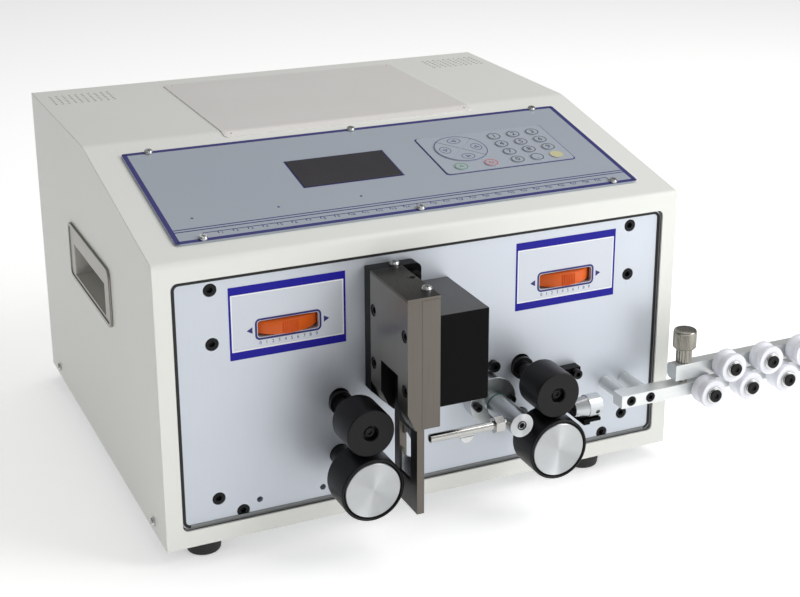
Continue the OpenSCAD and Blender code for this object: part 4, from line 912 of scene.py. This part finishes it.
@dataclass
class ControlPanel(SubAssembly):
    """The sloped panel with its printed border, ruler, display and keys."""

    parts = (
        Eased("control_panel", PANEL_FILM, 0.3, "panel_print"),
        Eased("display_window", SMOKED_ACRYLIC, 0.25, "display_glass"),
        Eased("keypad", KEY_FILM, 0.18, "key_film"),
    )
    front_y: ClassVar[float] = -171.0
    front_z: ClassVar[float] = 211.0
    rise: ClassVar[float] = 33.0
    run: ClassVar[float] = 171.0
    panel_n: float = 1.5
    key_n: float = 2.7
    ink: float = 0.06
    half_w: float = 171.0
    near_s: float = 20.0
    far_s: float = 152.7
    border: float = 3.4
    border_corner: float = 2.0
    inset: float = 0.3
    line_w: float = 1.0
    line_s: tuple[float, float] = (35.1, 38.0)
    window_corner: float = 0.4
    keypad_corner: float = 3.0
    ruler_s: float = 30.6
    ruler_half: float = 150.0
    ruler_steps: int = 30
    tick: float = 2.6
    long_tick: float = 1.6
    tick_w: float = 0.7
    tick_figure: float = 2.5
    figure_aside: float = 2.4
    display: tuple[float, float, float, float] = (-28.3, 92.5, 73.5, 39.5)
    keypad: tuple[float, float, float, float] = (91.2, 93.3, 103.3, 58.3)
    key_r: float = 4.95
    key_rim: float = 0.6
    key_figure: float = 5.0
    sign_rim: float = 0.7
    sign_line: float = 0.6
    start_r: float = 2.2
    stop_w: float = 3.2
    stop_corner: float = 0.2
    key_x: tuple[float, ...] = (99.5, 115.6, 131.7)
    key_s: tuple[float, ...] = (111.6, 98.5, 85.4, 72.3)
    pad: tuple[float, float, float] = (65.9, 98.7, 20.0)
    pad_key: float = 12.0
    pad_inset: float = 0.2
    pad_line: float = 0.5
    oval_out: float = 12.6
    oval_r: float = 5.2
    oval_line: float = 0.45
    oval_squeeze: float = 0.8
    arrow_r: float = 2.4
    dot_r: float = 0.9
    dots: tuple[tuple[float, float], ...] = ((-150.8, 51.2), (-91.6, 51.0), (-32.4, 50.8))

    @classmethod
    def tilt(cls) -> float:
        """Returns the rise of the slope for each step back."""
        return cls.rise / cls.run

    def at(self, x: float, s: float, n: float) -> Matrix:
        """Gives a place on the slope.

        Args:
            x: Distance to the right of the middle.
            s: Distance up the slope from the front edge.
            n: Height above the slope.

        Returns:
            A matrix whose Z stands off the slope.
        """
        slope = Matrix.Translation((0, self.front_y, self.front_z)) @ Matrix.Rotation(
            math.atan(self.tilt()), 4, "X"
        )
        return slope @ Matrix.Translation((x, s, n))

    def build(self) -> None:
        """Dresses the panel and prints it."""
        self.soften_parts()
        self.print_border()
        self.print_ruler()
        self.print_keys()
        self.print_pad()

    def print_border(self) -> None:
        """Prints the border, the double line and the frames of display and keys."""
        work = Workpiece("panel_border_print")
        width = 2 * (self.half_w - self.inset)
        depth = self.far_s - self.near_s - 2 * self.inset
        frame_s = (self.near_s + self.far_s) / 2
        work.add(
            sheet(width, depth, self.border_corner, self.ink, self.border), self.at(0, frame_s, self.panel_n)
        )
        for s in self.line_s:
            line = sheet(width - 2 * self.border, self.line_w, 0, self.ink)
            work.add(line, self.at(0, s, self.panel_n))
        grow = 2 * self.line_w
        for (x, s, wide, high), corner in (
            (self.display, self.window_corner), (self.keypad, self.keypad_corner)
        ):
            rim = sheet(wide + grow, high + grow, corner, self.ink, self.line_w)
            work.add(rim, self.at(x, s, self.panel_n))
        for x, s in self.dots:
            work.add(disc(self.dot_r, self.ink, sides=20), self.at(x, s, self.panel_n))
        self.mount(work, NAVY_INK, "panel_print")

    def print_ruler(self) -> None:
        """Prints the ruler along the front edge."""
        work = Workpiece("panel_ruler_print")
        edge = sheet(2 * self.ruler_half, self.tick_w, 0, self.ink)
        work.add(edge, self.at(0, self.ruler_s, self.panel_n))
        step = 2 * self.ruler_half / self.ruler_steps
        for number in range(self.ruler_steps + 1):
            x = -self.ruler_half + number * step
            long = number in (0, self.ruler_steps)
            length = self.long_tick * self.tick if long else self.tick
            mark = sheet(self.tick_w, length, 0, self.ink)
            work.add(mark, self.at(x, self.ruler_s - length / 2, self.panel_n))
            if not long:
                figure = lettering(str(number), self.tick_figure, self.ink)
                work.add(figure, self.at(x + self.figure_aside, self.ruler_s - self.tick, self.panel_n))
        self.mount(work, NAVY_INK, "panel_print")

    def print_keys(self) -> None:
        """Prints the round number keys, the plain yellow key and the two coloured keys."""
        work = Workpiece("number_key_print")
        figures = ("123", "456", "789", "0.")
        for s, row in zip(self.key_s, figures):
            for x, figure in zip(self.key_x, row):
                work.add(disc(self.key_r, self.ink, self.key_rim), self.at(x, s, self.key_n))
                work.add(lettering(figure, self.key_figure, self.ink), self.at(x, s, self.key_n))
        self.mount(work, BLACK_INK, "key_film")
        blank = Workpiece("plain_key_print")
        blank.add(disc(self.key_r, self.ink), self.at(self.key_x[-1], self.key_s[-1], self.key_n))
        self.mount(blank, YELLOW_INK, "key_film")
        start = disc(self.start_r, self.ink, self.sign_line, 3)
        stop = sheet(self.stop_w, self.stop_w, self.stop_corner, self.ink, self.sign_line)
        for name, side, sign, finish in (("start", -1, start, GREEN_INK), ("stop", 1, stop, RED_INK)):
            place = self.at(self.pad[0] + side * self.pad_key, self.key_s[-1], self.key_n)
            key = Workpiece(name + "_key_print")
            key.add(disc(self.key_r, self.ink, self.sign_rim), place)
            key.add(sign, place)
            self.mount(key, finish, "key_film")

    def print_pad(self) -> None:
        """Prints the arrow pad: its circle and four arrows in ovals."""
        work = Workpiece("arrow_pad_print")
        x, s, radius = self.pad
        hub = self.at(x, s, self.key_n)
        work.add(disc(radius - self.pad_inset, self.ink, self.pad_line, 64), hub)
        for turn in range(4):
            place = hub @ Matrix.Rotation(turn * math.pi / 2, 4, "Z") @ upright(self.oval_out, 0, 0)
            oval = place @ Matrix.Diagonal((self.oval_squeeze, 1.0, 1.0, 1.0))
            work.add(disc(self.oval_r, self.ink, self.oval_line), oval)
            work.add(disc(self.arrow_r, self.ink, self.pad_line, 3), place)
        self.mount(work, NAVY_INK, "key_film")


@dataclass
class FrontPlate(SubAssembly):
    """The brushed front plate with its screws and the printed labels round the dials."""

    parts = (
        Eased("front_plate", PLATE_ALUMINIUM, 0.45, "plate_aluminium"),
        Eased("socket_screws", BLACK_OXIDE, 0.35, "black_screws"),
    )
    label_w: float = 80.0
    label_h: float = 50.2
    label_up: float = 6.3
    bar_h: float = 5.5
    side_w: float = 1.4
    white_w: float = 0.9
    slot_w: float = 42.0
    slot_h: float = 11.3
    slot_play: float = 0.4
    surround: float = 1.8
    surround_corner: float = 3.4
    mark_r: float = 2.6
    mark_out: float = 4.4
    film: float = 0.08
    ink: float = 0.06
    figure_h: float = 2.3
    figure_down: float = 9.5
    figures: str = "0123456789"
    figure_step: float = 4.3
    gap: float = 1.0
    strip_w: float = 0.8
    strip_reach: float = 1.5
    sill_back: float = 1.0
    corner: float = 5.0
    lip_w: float = 2.0
    lip_t: float = 0.2

    def build(self) -> None:
        """Dresses the plate, its screws and both labels."""
        self.soften_parts()
        self.line_gap()
        for side in ("left", "right"):
            self.print_label(side, cad_middle(f"{side}_gap_dial").x, GapDial.wheel_z)

    def line_gap(self) -> None:
        """Lays a dark lip round the plate as a painted shadow of the case's edge, and grey painted shade
        under it and in the gap beside it.
        """
        low, high = cad_box("front_plate")
        width, height = high.x - low.x, high.z - low.z
        middle, half = (low + high) / 2, self.gap / 2
        # Black sheet on the plate's margin: a painted shadow of the case's edge.
        dark = Workpiece("plate_painted_shadow_lip")
        lip = sheet(width, height, self.corner, self.lip_t, self.lip_w)
        dark.add(lip, facing_front(middle.x, low.y, middle.z))
        self.mount(dark, FOOT_RUBBER, "foot_rubber")
        # Grey strips: painted shade in the gap round the plate.
        pale = Workpiece("plate_painted_gap_shade")
        ledge = facing_front(middle.x, low.y, low.z + self.lip_w / 2)
        pale.add(sheet(width - 2 * self.corner, self.lip_w, 0, 2 * self.lip_t), ledge)
        y = low.y + self.sill_back
        under = facing_front(middle.x, y, low.z - half)
        pale.add(sheet(width, self.strip_w, 0, self.strip_reach), under)
        right = facing_front(high.x + half, y, middle.z)
        pale.add(sheet(self.strip_w, height, 0, self.strip_reach), right)
        self.mount(pale, GREY_PAINTED_GAP_SHADE, "foot_rubber")

    def print_label(self, side: str, x: float, z: float) -> None:
        """Sticks one label on the plate.

        Args:
            side: The dial's side.
            x: The dial's middle from side to side.
            z: The dial's middle in height.
        """
        y = cad_box("front_plate")[0].y
        top = self.label_up + self.label_h / 2
        bottom = self.label_up - self.label_h / 2
        half_w, half_slot = self.label_w / 2, self.slot_w / 2 + self.slot_play
        slot_top = self.slot_h / 2 + self.slot_play
        inner_h = self.label_h - 2 * self.bar_h
        vinyl = Workpiece(f"{side}_dial_label")
        for x0, x1, z0, z1 in (
            (-half_w, half_w, slot_top, top),
            (-half_w, half_w, bottom, -slot_top),
            (-half_w, -half_slot, -slot_top, slot_top),
            (half_slot, half_w, -slot_top, slot_top),
        ):
            place = facing_front(x + (x0 + x1) / 2, y, z + (z0 + z1) / 2)
            vinyl.add(sheet(x1 - x0, z1 - z0, 0, self.film), place)
        self.mount(vinyl, SILVER_VINYL, "plate_aluminium")
        face = y - self.film
        blue = Workpiece(f"{side}_label_bars")
        for middle in (top - self.bar_h / 2, bottom + self.bar_h / 2):
            blue.add(sheet(self.label_w, self.bar_h, 0, self.ink), facing_front(x, face, z + middle))
        for end in (-1, 1):
            edge = x + end * (half_w - self.side_w / 2)
            blue.add(sheet(self.side_w, inner_h, 0, self.ink), facing_front(edge, face, z + self.label_up))
        self.mount(blue, ROYAL_INK, "plate_aluminium")
        white = Workpiece(f"{side}_label_line")
        line = sheet(self.label_w - 2 * self.side_w, inner_h, 0, self.ink, self.white_w)
        white.add(line, facing_front(x, face, z + self.label_up))
        self.mount(white, WHITE_INK, "plate_aluminium")
        navy = Workpiece(f"{side}_label_figures")
        grow = 2 * self.surround
        rim = self.surround - self.slot_play
        round_slot = sheet(self.slot_w + grow, self.slot_h + grow, self.surround_corner, self.ink, rim)
        navy.add(round_slot, facing_front(x, face, z))
        for end in (-1, 1):
            outwards = Matrix.Rotation(-end * math.pi / 2, 4, "Z")
            mark = facing_front(x + end * (half_slot + self.mark_out), face, z) @ outwards
            navy.add(disc(self.mark_r, self.ink, sides=3), mark)
        for number, figure in enumerate(self.figures):
            along = (number - (len(self.figures) - 1) / 2) * self.figure_step
            place = facing_front(x + along, face, z - self.figure_down)
            navy.add(lettering(figure, self.figure_h, self.ink), place)
        self.mount(navy, NAVY_INK, "plate_aluminium")


@dataclass
class GapDial(SubAssembly):
    """The two orange wheels that set the gap between the rollers."""

    wheel_z: ClassVar[float] = 157.2
    wheel_t: float = 9.5
    edge: float = 1.2
    ribs: int = 132
    rib_depth: float = 0.6
    zones: int = 6
    zone_share: float = 0.38
    ease: float = 0.35
    spindle_r: float = 3.9
    spindle_edge: float = 0.4

    def build(self) -> None:
        """Builds both wheels on their spindles."""
        for side in ("left", "right"):
            low, high = cad_box(f"{side}_gap_dial")
            x, y = (low.x + high.x) / 2, (low.y + high.y) / 2
            radius = (high.x - low.x) / 2
            bottom, top = self.wheel_z - self.wheel_t / 2, self.wheel_z + self.wheel_t / 2
            step = self.ease * self.edge
            levels = (
                (bottom, radius - self.edge, 0.0),
                (bottom + step, radius - step, self.rib_depth / 2),
                (bottom + self.edge, radius, self.rib_depth),
                (top - self.edge, radius, self.rib_depth),
                (top - step, radius - step, self.rib_depth / 2),
                (top, radius - self.edge, 0.0),
            )
            work = Workpiece(f"{side}_gap_wheel")
            work.add(fluted(levels, self.ribs, self.zones, self.zone_share), upright(x, y, 0))
            work.add(turned(self.spindle(low.z, bottom)), upright(x, y, 0))
            work.add(turned(self.spindle(top, high.z)), upright(x, y, 0))
            self.mount(work, ORANGE_ABS, "dial_plastic", f"{side}_dial", f"{side}_gap_dial")

    def spindle(self, low: float, high: float) -> list[tuple[float, float]]:
        """Returns the profile of a spindle end between two heights."""
        outer, edge = self.spindle_r, self.spindle_edge
        inner = outer - edge
        return [(0, low), (inner, low), (outer, low + edge), (outer, high - edge), (inner, high), (0, high)]


@dataclass
class FeedRollers(SubAssembly):
    """The two pairs of feed rollers with their shafts, slides and springs."""

    parts = (
        Eased("left_pressure_roller right_pressure_roller", BLACK_URETHANE, 1.0, "roller_rubber"),
        Eased("left_drive_roller right_drive_roller", BLACK_URETHANE, 1.7, "roller_rubber"),
        Eased("left_pressure_shaft right_pressure_shaft", BLACK_OXIDE, 0.5, "shaft_steel"),
        Eased("left_drive_shaft right_drive_shaft", BLACK_OXIDE, 0.5, "shaft_steel"),
        Eased("left_pressure_slide right_pressure_slide", MACHINED_ALUMINIUM, 0.3, "slide_steel"),
        Eased("bearing_blocks", MACHINED_ALUMINIUM, 0.3, "block_aluminium"),
    )
    cap_edge: float = 0.35
    cap_dish: float = 0.25
    cap_inset: float = 0.9
    spring_turns: int = 5
    wire_d: float = 1.6
    turn_steps: int = 28
    gap_travel: float = 2.0
    screw_r: float = 3.4
    screw_h: float = 1.4
    screw_edge: float = 0.5
    screw_root: float = 0.2
    socket_r: float = 1.7
    socket_edge: float = 0.2
    socket_floor: tuple[float, float] = (0.3, 0.1)

    def build(self) -> None:
        """Dresses both pairs."""
        self.soften_parts()
        for side in ("left", "right"):
            self.set_end_screw(side)
            self.face_cap(side)
            self.wind_spring(side)
        self.dress(MOTOR_PAINT, "stepper_motors")

    def set_end_screw(self, side: str) -> None:
        """Sets a dark screw in the front bore of a pressure roller.

        Args:
            side: The roller's side.
        """
        middle = cad_middle(f"{side}_pressure_roller")
        shaft_front = cad_box(f"{side}_pressure_shaft")[0].y
        depth, radius, socket = self.screw_h, self.screw_r, self.socket_r
        wall, floor = self.socket_floor
        profile = [
            (0, -self.screw_root), (radius, -self.screw_root), (radius, depth - self.screw_edge),
            (radius - self.screw_edge, depth), (socket + self.socket_edge, depth),
            (socket, depth - self.socket_edge), (socket, wall), (0, floor),
        ]
        place = facing_front(middle.x, shaft_front, middle.z)
        work = Workpiece(f"{side}_end_screw").add(turned(profile, 36), place)
        self.mount(work, BLACK_OXIDE, "black_screws", f"{side}_pressure")

    def face_cap(self, side: str) -> None:
        """Turns the bright disc on a drive roller's front.

        Args:
            side: The roller's side.
        """
        low, high = cad_box(f"{side}_roller_cap")
        x, z = (low.x + high.x) / 2, (low.z + high.z) / 2
        radius, depth = (high.x - low.x) / 2 - self.cap_inset, high.y - low.y
        ease = self.cap_edge
        profile = [
            (0, 0), (radius, 0), (radius, depth - ease), (radius - ease, depth),
            (radius - 2 * ease, depth - 0.3 * ease), (radius * 0.5, depth - self.cap_dish * 0.7),
            (0, depth - self.cap_dish),
        ]
        finish = replace(SPUN_ALUMINIUM, name=f"{SPUN_ALUMINIUM.name}_{side}", centre=(x, 0, z))
        work = Workpiece(f"{side}_cap_disc").add(turned(profile, 96), facing_front(x, high.y, z))
        self.mount(work, finish, "cap_aluminium", f"{side}_drive", f"{side}_roller_cap")

    def wind_spring(self, side: str) -> None:
        """Winds the spring over a pressure slide.

        Args:
            side: The slide's side.
        """
        low, high = cad_box("pressure_springs")
        x, y = cad_middle(f"{side}_pressure_slide").x, (low.y + high.y) / 2
        mean_r = (high.y - low.y - self.wire_d) / 2
        form = bmesh.new()
        ring = bmesh.ops.create_circle(form, cap_ends=True, segments=12, radius=self.wire_d / 2)["verts"]
        bmesh.ops.rotate(form, cent=(0, 0, 0), matrix=Matrix.Rotation(math.pi / 2, 3, "X"), verts=ring)
        bmesh.ops.translate(form, vec=(mean_r, 0, low.z + self.wire_d / 2), verts=ring)
        steps = self.spring_turns * self.turn_steps
        climb = (high.z - low.z - self.wire_d) / steps
        bmesh.ops.spin(
            form, geom=form.verts[:] + form.edges[:] + form.faces[:], cent=(0, 0, 0), axis=(0, 0, 1),
            dvec=(0, 0, climb), angle=math.tau * self.spring_turns, steps=steps, use_merge=False,
        )
        bmesh.ops.holes_fill(form, edges=form.edges[:], sides=0)
        work = Workpiece(f"{side}_gap_spring").add(form, upright(x, y, 0))
        piece = self.mount(work, POLISHED_STEEL, "spring_steel", "chassis", "pressure_springs")
        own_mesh(piece)


@dataclass
class CutterColumn(SubAssembly):
    """The cutter's ground plates, cap, black base and cover, and its blades."""

    parts = (
        Eased("cutter_base", BLACK_ANODISED, 0.6, "cutter_black"),
        Eased("upper_blade lower_blade", BLADE_STEEL, 0.08, "blade_steel"),
        Eased("cutter_pinion", POLISHED_STEEL, 0.15, "shaft_steel"),
    )
    two_tone: ClassVar[tuple[tuple[Eased, Finish, FaceTest], ...]] = (
        # The right plate's left face is painted black as painted shade inside the column's window.
        (Eased("cutter_right_plate", GROUND_STEEL, 0.45, "cutter_steel"), BLACK_OXIDE, SubAssembly.is_left),
        (Eased("cutter_top_cap", GROUND_STEEL, 0.25, "cutter_steel"), BLUED_STEEL, SubAssembly.is_top),
        # The cover's top takes a painted reflection, grey over its black.
        (Eased("cutter_cover", BLACK_ANODISED, 0.9, "cutter_black"), BLACK_PAINTED_TOP_REFLECTION, SubAssembly.is_top),
        # The blade holders' left faces are painted dark as painted shade inside the window.
        (Eased("upper_blade_holder", GROUND_STEEL, 0.35, "holder_steel"), BLUED_STEEL, SubAssembly.is_left),
        (Eased("lower_blade_holder", GROUND_STEEL, 0.35, "holder_steel"), BLUED_STEEL, SubAssembly.is_left),
    )
    plate_edge: float = 0.45
    post: float = 15.5
    margin: float = 0.5
    window_z: float = 134.0

    def build(self) -> None:
        """Dresses the column."""
        self.low, self.high = cad_box("cutter_left_plate")
        # The window's walls and the sloped foot take black as painted shade.
        self.soften(
            "cutter_left_plate", GROUND_STEEL, self.plate_edge, "cutter_steel",
            # The paler steel on the left side is painted light.
            accents=((BLACK_OXIDE, self.is_window), (GROUND_STEEL_PAINTED_SIDE_LIGHT, self.is_left)),
        )
        for part, finish, test in self.two_tone:
            self.soften(part.nodes, part.finish, part.width, part.slot, accents=((finish, test),))
        self.soften_parts()

    def is_window(self, middle: Vector, normal: Vector) -> bool:
        """Tells whether a face of the left plate is in its window or on its sloped foot, where black stands
        in as painted shade.

        Args:
            middle: The face's middle.
            normal: The face's normal.

        Returns:
            True for a face that is painted black as painted shade.
        """
        inside = self.low.y + self.post - self.margin < middle.y < self.high.y - self.margin
        return abs(normal.x) < 0.9 and middle.z < self.window_z and inside or -0.9 < normal.x < -0.2


@dataclass
class WireGuides(SubAssembly):
    """The swinging outlet guide and the conical inlet guide."""

    parts = (
        Eased("guide_flange guide_arm", SATIN_ALUMINIUM, 0.5, "guide_metal"),
        Eased("guide_tube", POLISHED_STEEL, 0.3, "tube_steel"),
        Eased("inlet_guide", SATIN_ALUMINIUM, 0.4, "guide_metal"),
        Eased("inlet_bracket", BLACK_ANODISED, 0.5, "cutter_black"),
    )
    screw_r: float = 3.3
    screw_h: float = 0.5
    socket_r: float = 2.62
    socket_depth: float = 2.4
    socket_t: float = 0.4
    face_r: float = 8.0
    face_t: float = 0.1
    ring_l: float = 6.9
    ring_r: float = 7.7
    ring_d: float = 1.9

    def build(self) -> None:
        """Dresses both guides, the arm's end screw and its sealing ring."""
        self.set_screw()
        self.seat_ring()
        self.soften_parts()

    def set_screw(self) -> None:
        """Sets the black socket screw in the turned end of the guide's arm."""
        low, high = cad_box("guide_arm")
        x, z = (low.x + high.x) / 2, (low.z + high.z) / 2
        work = Workpiece("guide_end_screw")
        work.add(disc(self.screw_r, self.screw_h, self.screw_r - self.socket_r), facing_front(x, low.y, z))
        work.add(disc(self.socket_r, self.socket_t, sides=6), facing_front(x, low.y + self.socket_depth, z))
        body = frame["nodes"]["guide_arm"]["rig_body"]
        self.mount(work, BLACK_OXIDE, "black_screws", body)
        face = Workpiece("guide_end_face")
        face.add(disc(self.face_r, self.face_t, self.face_r - self.screw_r, 64), facing_front(x, low.y, z))
        finish = replace(SPUN_ALUMINIUM, name=f"{SPUN_ALUMINIUM.name}_arm", centre=(x, 0, z))
        self.mount(face, finish, "guide_metal", body)

    def seat_ring(self) -> None:
        """Seats the green sealing ring on the arm's neck."""
        arm = cad_middle("guide_arm")
        y = cad_box("guide_flange")[0].y - self.ring_l
        corners = 16
        profile = [
            (self.ring_r + self.ring_d / 2 * math.cos(a), self.ring_d / 2 * math.sin(a))
            for a in (math.tau * step / corners for step in range(corners + 1))
        ]
        work = Workpiece("guide_ring").add(turned(profile, 64), facing_front(arm.x, y, arm.z))
        self.mount(work, GREEN_RUBBER, "foot_rubber", frame["nodes"]["guide_arm"]["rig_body"])


@dataclass
class Straightener(SubAssembly):
    """The wire straightener: two bars, seven rollers and two knurled screws."""

    parts = (Eased("straightener_bar straightener_upper_bar", ZINC_BAR, 0.6, "bar_steel"),)
    rollers: int = 7
    screws: int = 2
    roller_edge: float = 0.5
    axle_edge: float = 0.3
    head_h: float = 1.6
    head_play: float = 0.2
    washer_t: float = 1.1
    neck_r: float = 5.8
    neck_h: float = 10.6
    knob_h: float = 14.0
    knob_edge: float = 1.0
    knob_rib: float = 0.35
    knob_ribs: int = 44
    neck_rib: float = 0.5
    neck_ribs: int = 16
    shank_r: float = 3.0
    shank_edge: float = 0.5

    def build(self) -> None:
        """Dresses the straightener."""
        self.soften_parts()
        for node in ("lower_axles", "upper_axles"):
            self.head_y = cad_box(node)[0].y + self.head_h
            washers = (BRIGHT_ZINC, self.is_washer)
            self.soften(node, BLACK_OXIDE, self.axle_edge, "axle_steel", accents=(washers,))
        for number in range(1, self.rollers + 1):
            self.soften(f"straightener_roller_{number}", WHITE_NYLON, self.roller_edge, "roller_nylon")
        for number in range(1, self.screws + 1):
            self.turn_screw(number)

    def is_washer(self, middle: Vector, normal: Vector) -> bool:
        """Tells whether a face of the axles is on the washer behind a head."""
        return self.head_y - self.head_play < middle.y < self.head_y + self.washer_t

    def turn_screw(self, number: int) -> None:
        """Turns one knurled screw with its splined neck.

        Args:
            number: Which of the screws.
        """
        node = f"straightener_screw_{number}"
        low, high = cad_box(node)
        x, y = (low.x + high.x) / 2, (low.y + high.y) / 2
        knob_r = (high.x - low.x) / 2
        knob_z = high.z - self.knob_h
        neck_z = knob_z - self.neck_h
        rim, ease = knob_r - self.knob_edge, self.knob_edge
        knob = (
            (knob_z, rim, 0.0), (knob_z + ease, knob_r, self.knob_rib),
            (high.z - 2.2 * ease, knob_r, self.knob_rib),
            (high.z - 2.0 * ease, knob_r - 0.1, 0.0), (high.z - ease, knob_r - 0.15, 0.0),
            (high.z - 0.3 * ease, rim + 0.35 * ease, 0.0), (high.z, rim - 0.4, 0.0),
        )
        neck = tuple((z, self.neck_r, self.neck_rib) for z in (neck_z, knob_z))
        shank_r, edge = self.shank_r, self.shank_edge
        shank = [(0, low.z), (shank_r - edge, low.z), (shank_r, low.z + edge), (shank_r, neck_z), (0, neck_z)]
        work = Workpiece(f"knurled_screw_{number}")
        work.add(fluted(knob, self.knob_ribs), upright(x, y, 0))
        work.add(fluted(neck, self.neck_ribs), upright(x, y, 0))
        work.add(turned(shank, 40), upright(x, y, 0))
        self.mount(work, NICKEL, "knob_nickel", f"screw_{number}", node)


@dataclass
class PowerEntry(SubAssembly):
    """The mains socket and switch on the rear panel, and the parts inside the case."""

    parts = (
        Eased("power_inlet", BLACK_NYLON, 0.4, "inlet_plastic"),
        Eased("power_switch", RED_ROCKER, 0.5, "rocker_plastic"),
    )

    def build(self) -> None:
        """Dresses the power entry and the electronics."""
        self.soften_parts()
        self.dress(CIRCUIT_GREEN, "electronics")


@dataclass
class Studio:
    """Floor, light and camera."""

    azimuth: float = -26.86
    elevation: float = 19.0
    roll: float = 0.81
    stand: tuple[float, float, float] = (-418.8, -1062.8, 544.0)
    focal_px: float = 1561.4
    shift: tuple[float, float] = (-0.0986, -0.0785)
    sensor: float = 36.0
    floor_size: float = 12.0
    floor_glow: float = 0.42
    floor_rough: float = 0.9
    surround: float = 0.22
    target: tuple[float, float, float] = (0.0, 0.0, 0.12)
    far: float = 50.0

    def build(self) -> None:
        """Sets the floor, the light and the camera."""
        self.lay_floor()
        self.light()
        self.aim_camera()

    def lay_floor(self) -> None:
        """Lays the plain pale floor."""
        form = bmesh.new()
        bmesh.ops.create_grid(form, x_segments=1, y_segments=1, size=self.floor_size / 2)
        material = bpy.data.materials.new("pale_floor")
        material.use_nodes = True
        shader = material.node_tree.nodes["Principled BSDF"]
        shader.inputs["Base Color"].default_value = linear("#FBFBFA")
        shader.inputs["Roughness"].default_value = self.floor_rough
        shader.inputs["Emission Color"].default_value = linear("#FFFFFF")
        shader.inputs["Emission Strength"].default_value = self.floor_glow
        mesh_piece("floor", form, material, 30.0)

    def light(self) -> None:
        """Hangs the soft boxes and sets an even white surround."""
        world = bpy.data.worlds.new("studio")
        world.use_nodes = True
        surround = world.node_tree.nodes["Background"]
        surround.inputs["Color"].default_value = linear("#FFFFFF")
        surround.inputs["Strength"].default_value = self.surround
        bpy.context.scene.world = world
        target = Vector(self.target)
        for name, place, size, power in (
            ("key_box", (1.3, -0.9, 1.5), 1.3, 23.0),
            ("front_box", (0.5, -2.2, 0.5), 1.4, 3.0),
            ("right_box", (1.0, -1.1, 0.32), 0.9, 5.0),
            ("left_box", (-0.6, -1.8, 1.2), 1.2, 2.5),
            ("top_box", (0.3, 0.6, 1.9), 1.6, 10.0),
        ):
            lamp = bpy.data.lights.new(name, "AREA")
            lamp.energy = power
            lamp.size = size
            holder = bpy.data.objects.new(name, lamp)
            holder.location = place
            holder.rotation_euler = (target - Vector(place)).to_track_quat("-Z", "Y").to_euler()
            bpy.context.scene.collection.objects.link(holder)

    def aim_camera(self) -> None:
        """Puts the camera where the photograph was taken."""
        azimuth, elevation, roll = (math.radians(a) for a in (self.azimuth, self.elevation, self.roll))
        back = Vector(
            (
                math.sin(azimuth) * math.cos(elevation),
                -math.cos(azimuth) * math.cos(elevation),
                math.sin(elevation),
            )
        )
        level = (-back).cross(Vector((0, 0, 1))).normalized()
        up = level.cross(-back)
        right = math.cos(roll) * level + math.sin(roll) * up
        above = -math.sin(roll) * level + math.cos(roll) * up
        lens = bpy.data.cameras.new("photo_camera")
        lens.sensor_width = self.sensor
        lens.lens = self.focal_px * self.sensor / PHOTO_WIDTH
        lens.shift_x, lens.shift_y = self.shift
        lens.clip_end = self.far
        camera = bpy.data.objects.new("photo_camera", lens)
        turn = Matrix((right, above, back)).transposed().to_4x4()
        camera.matrix_world = Matrix.Translation(MIDDLE + Vector(self.stand) * MM) @ turn
        bpy.context.scene.collection.objects.link(camera)
        bpy.context.scene.camera = camera


def main() -> None:
    """Builds every sub-assembly and the studio."""
    logging.basicConfig(level=logging.INFO, format="%(name)s: %(message)s")
    bpy.context.scene.view_settings.view_transform = "Standard"
    paints = Paintbox()
    for assembly in (
        CaseBody, ControlPanel, FrontPlate, GapDial, FeedRollers, CutterColumn, WireGuides, Straightener,
        PowerEntry,
    ):
        assembly(paints).build()
    Studio().build()


if __name__ == "__main__":
    main()
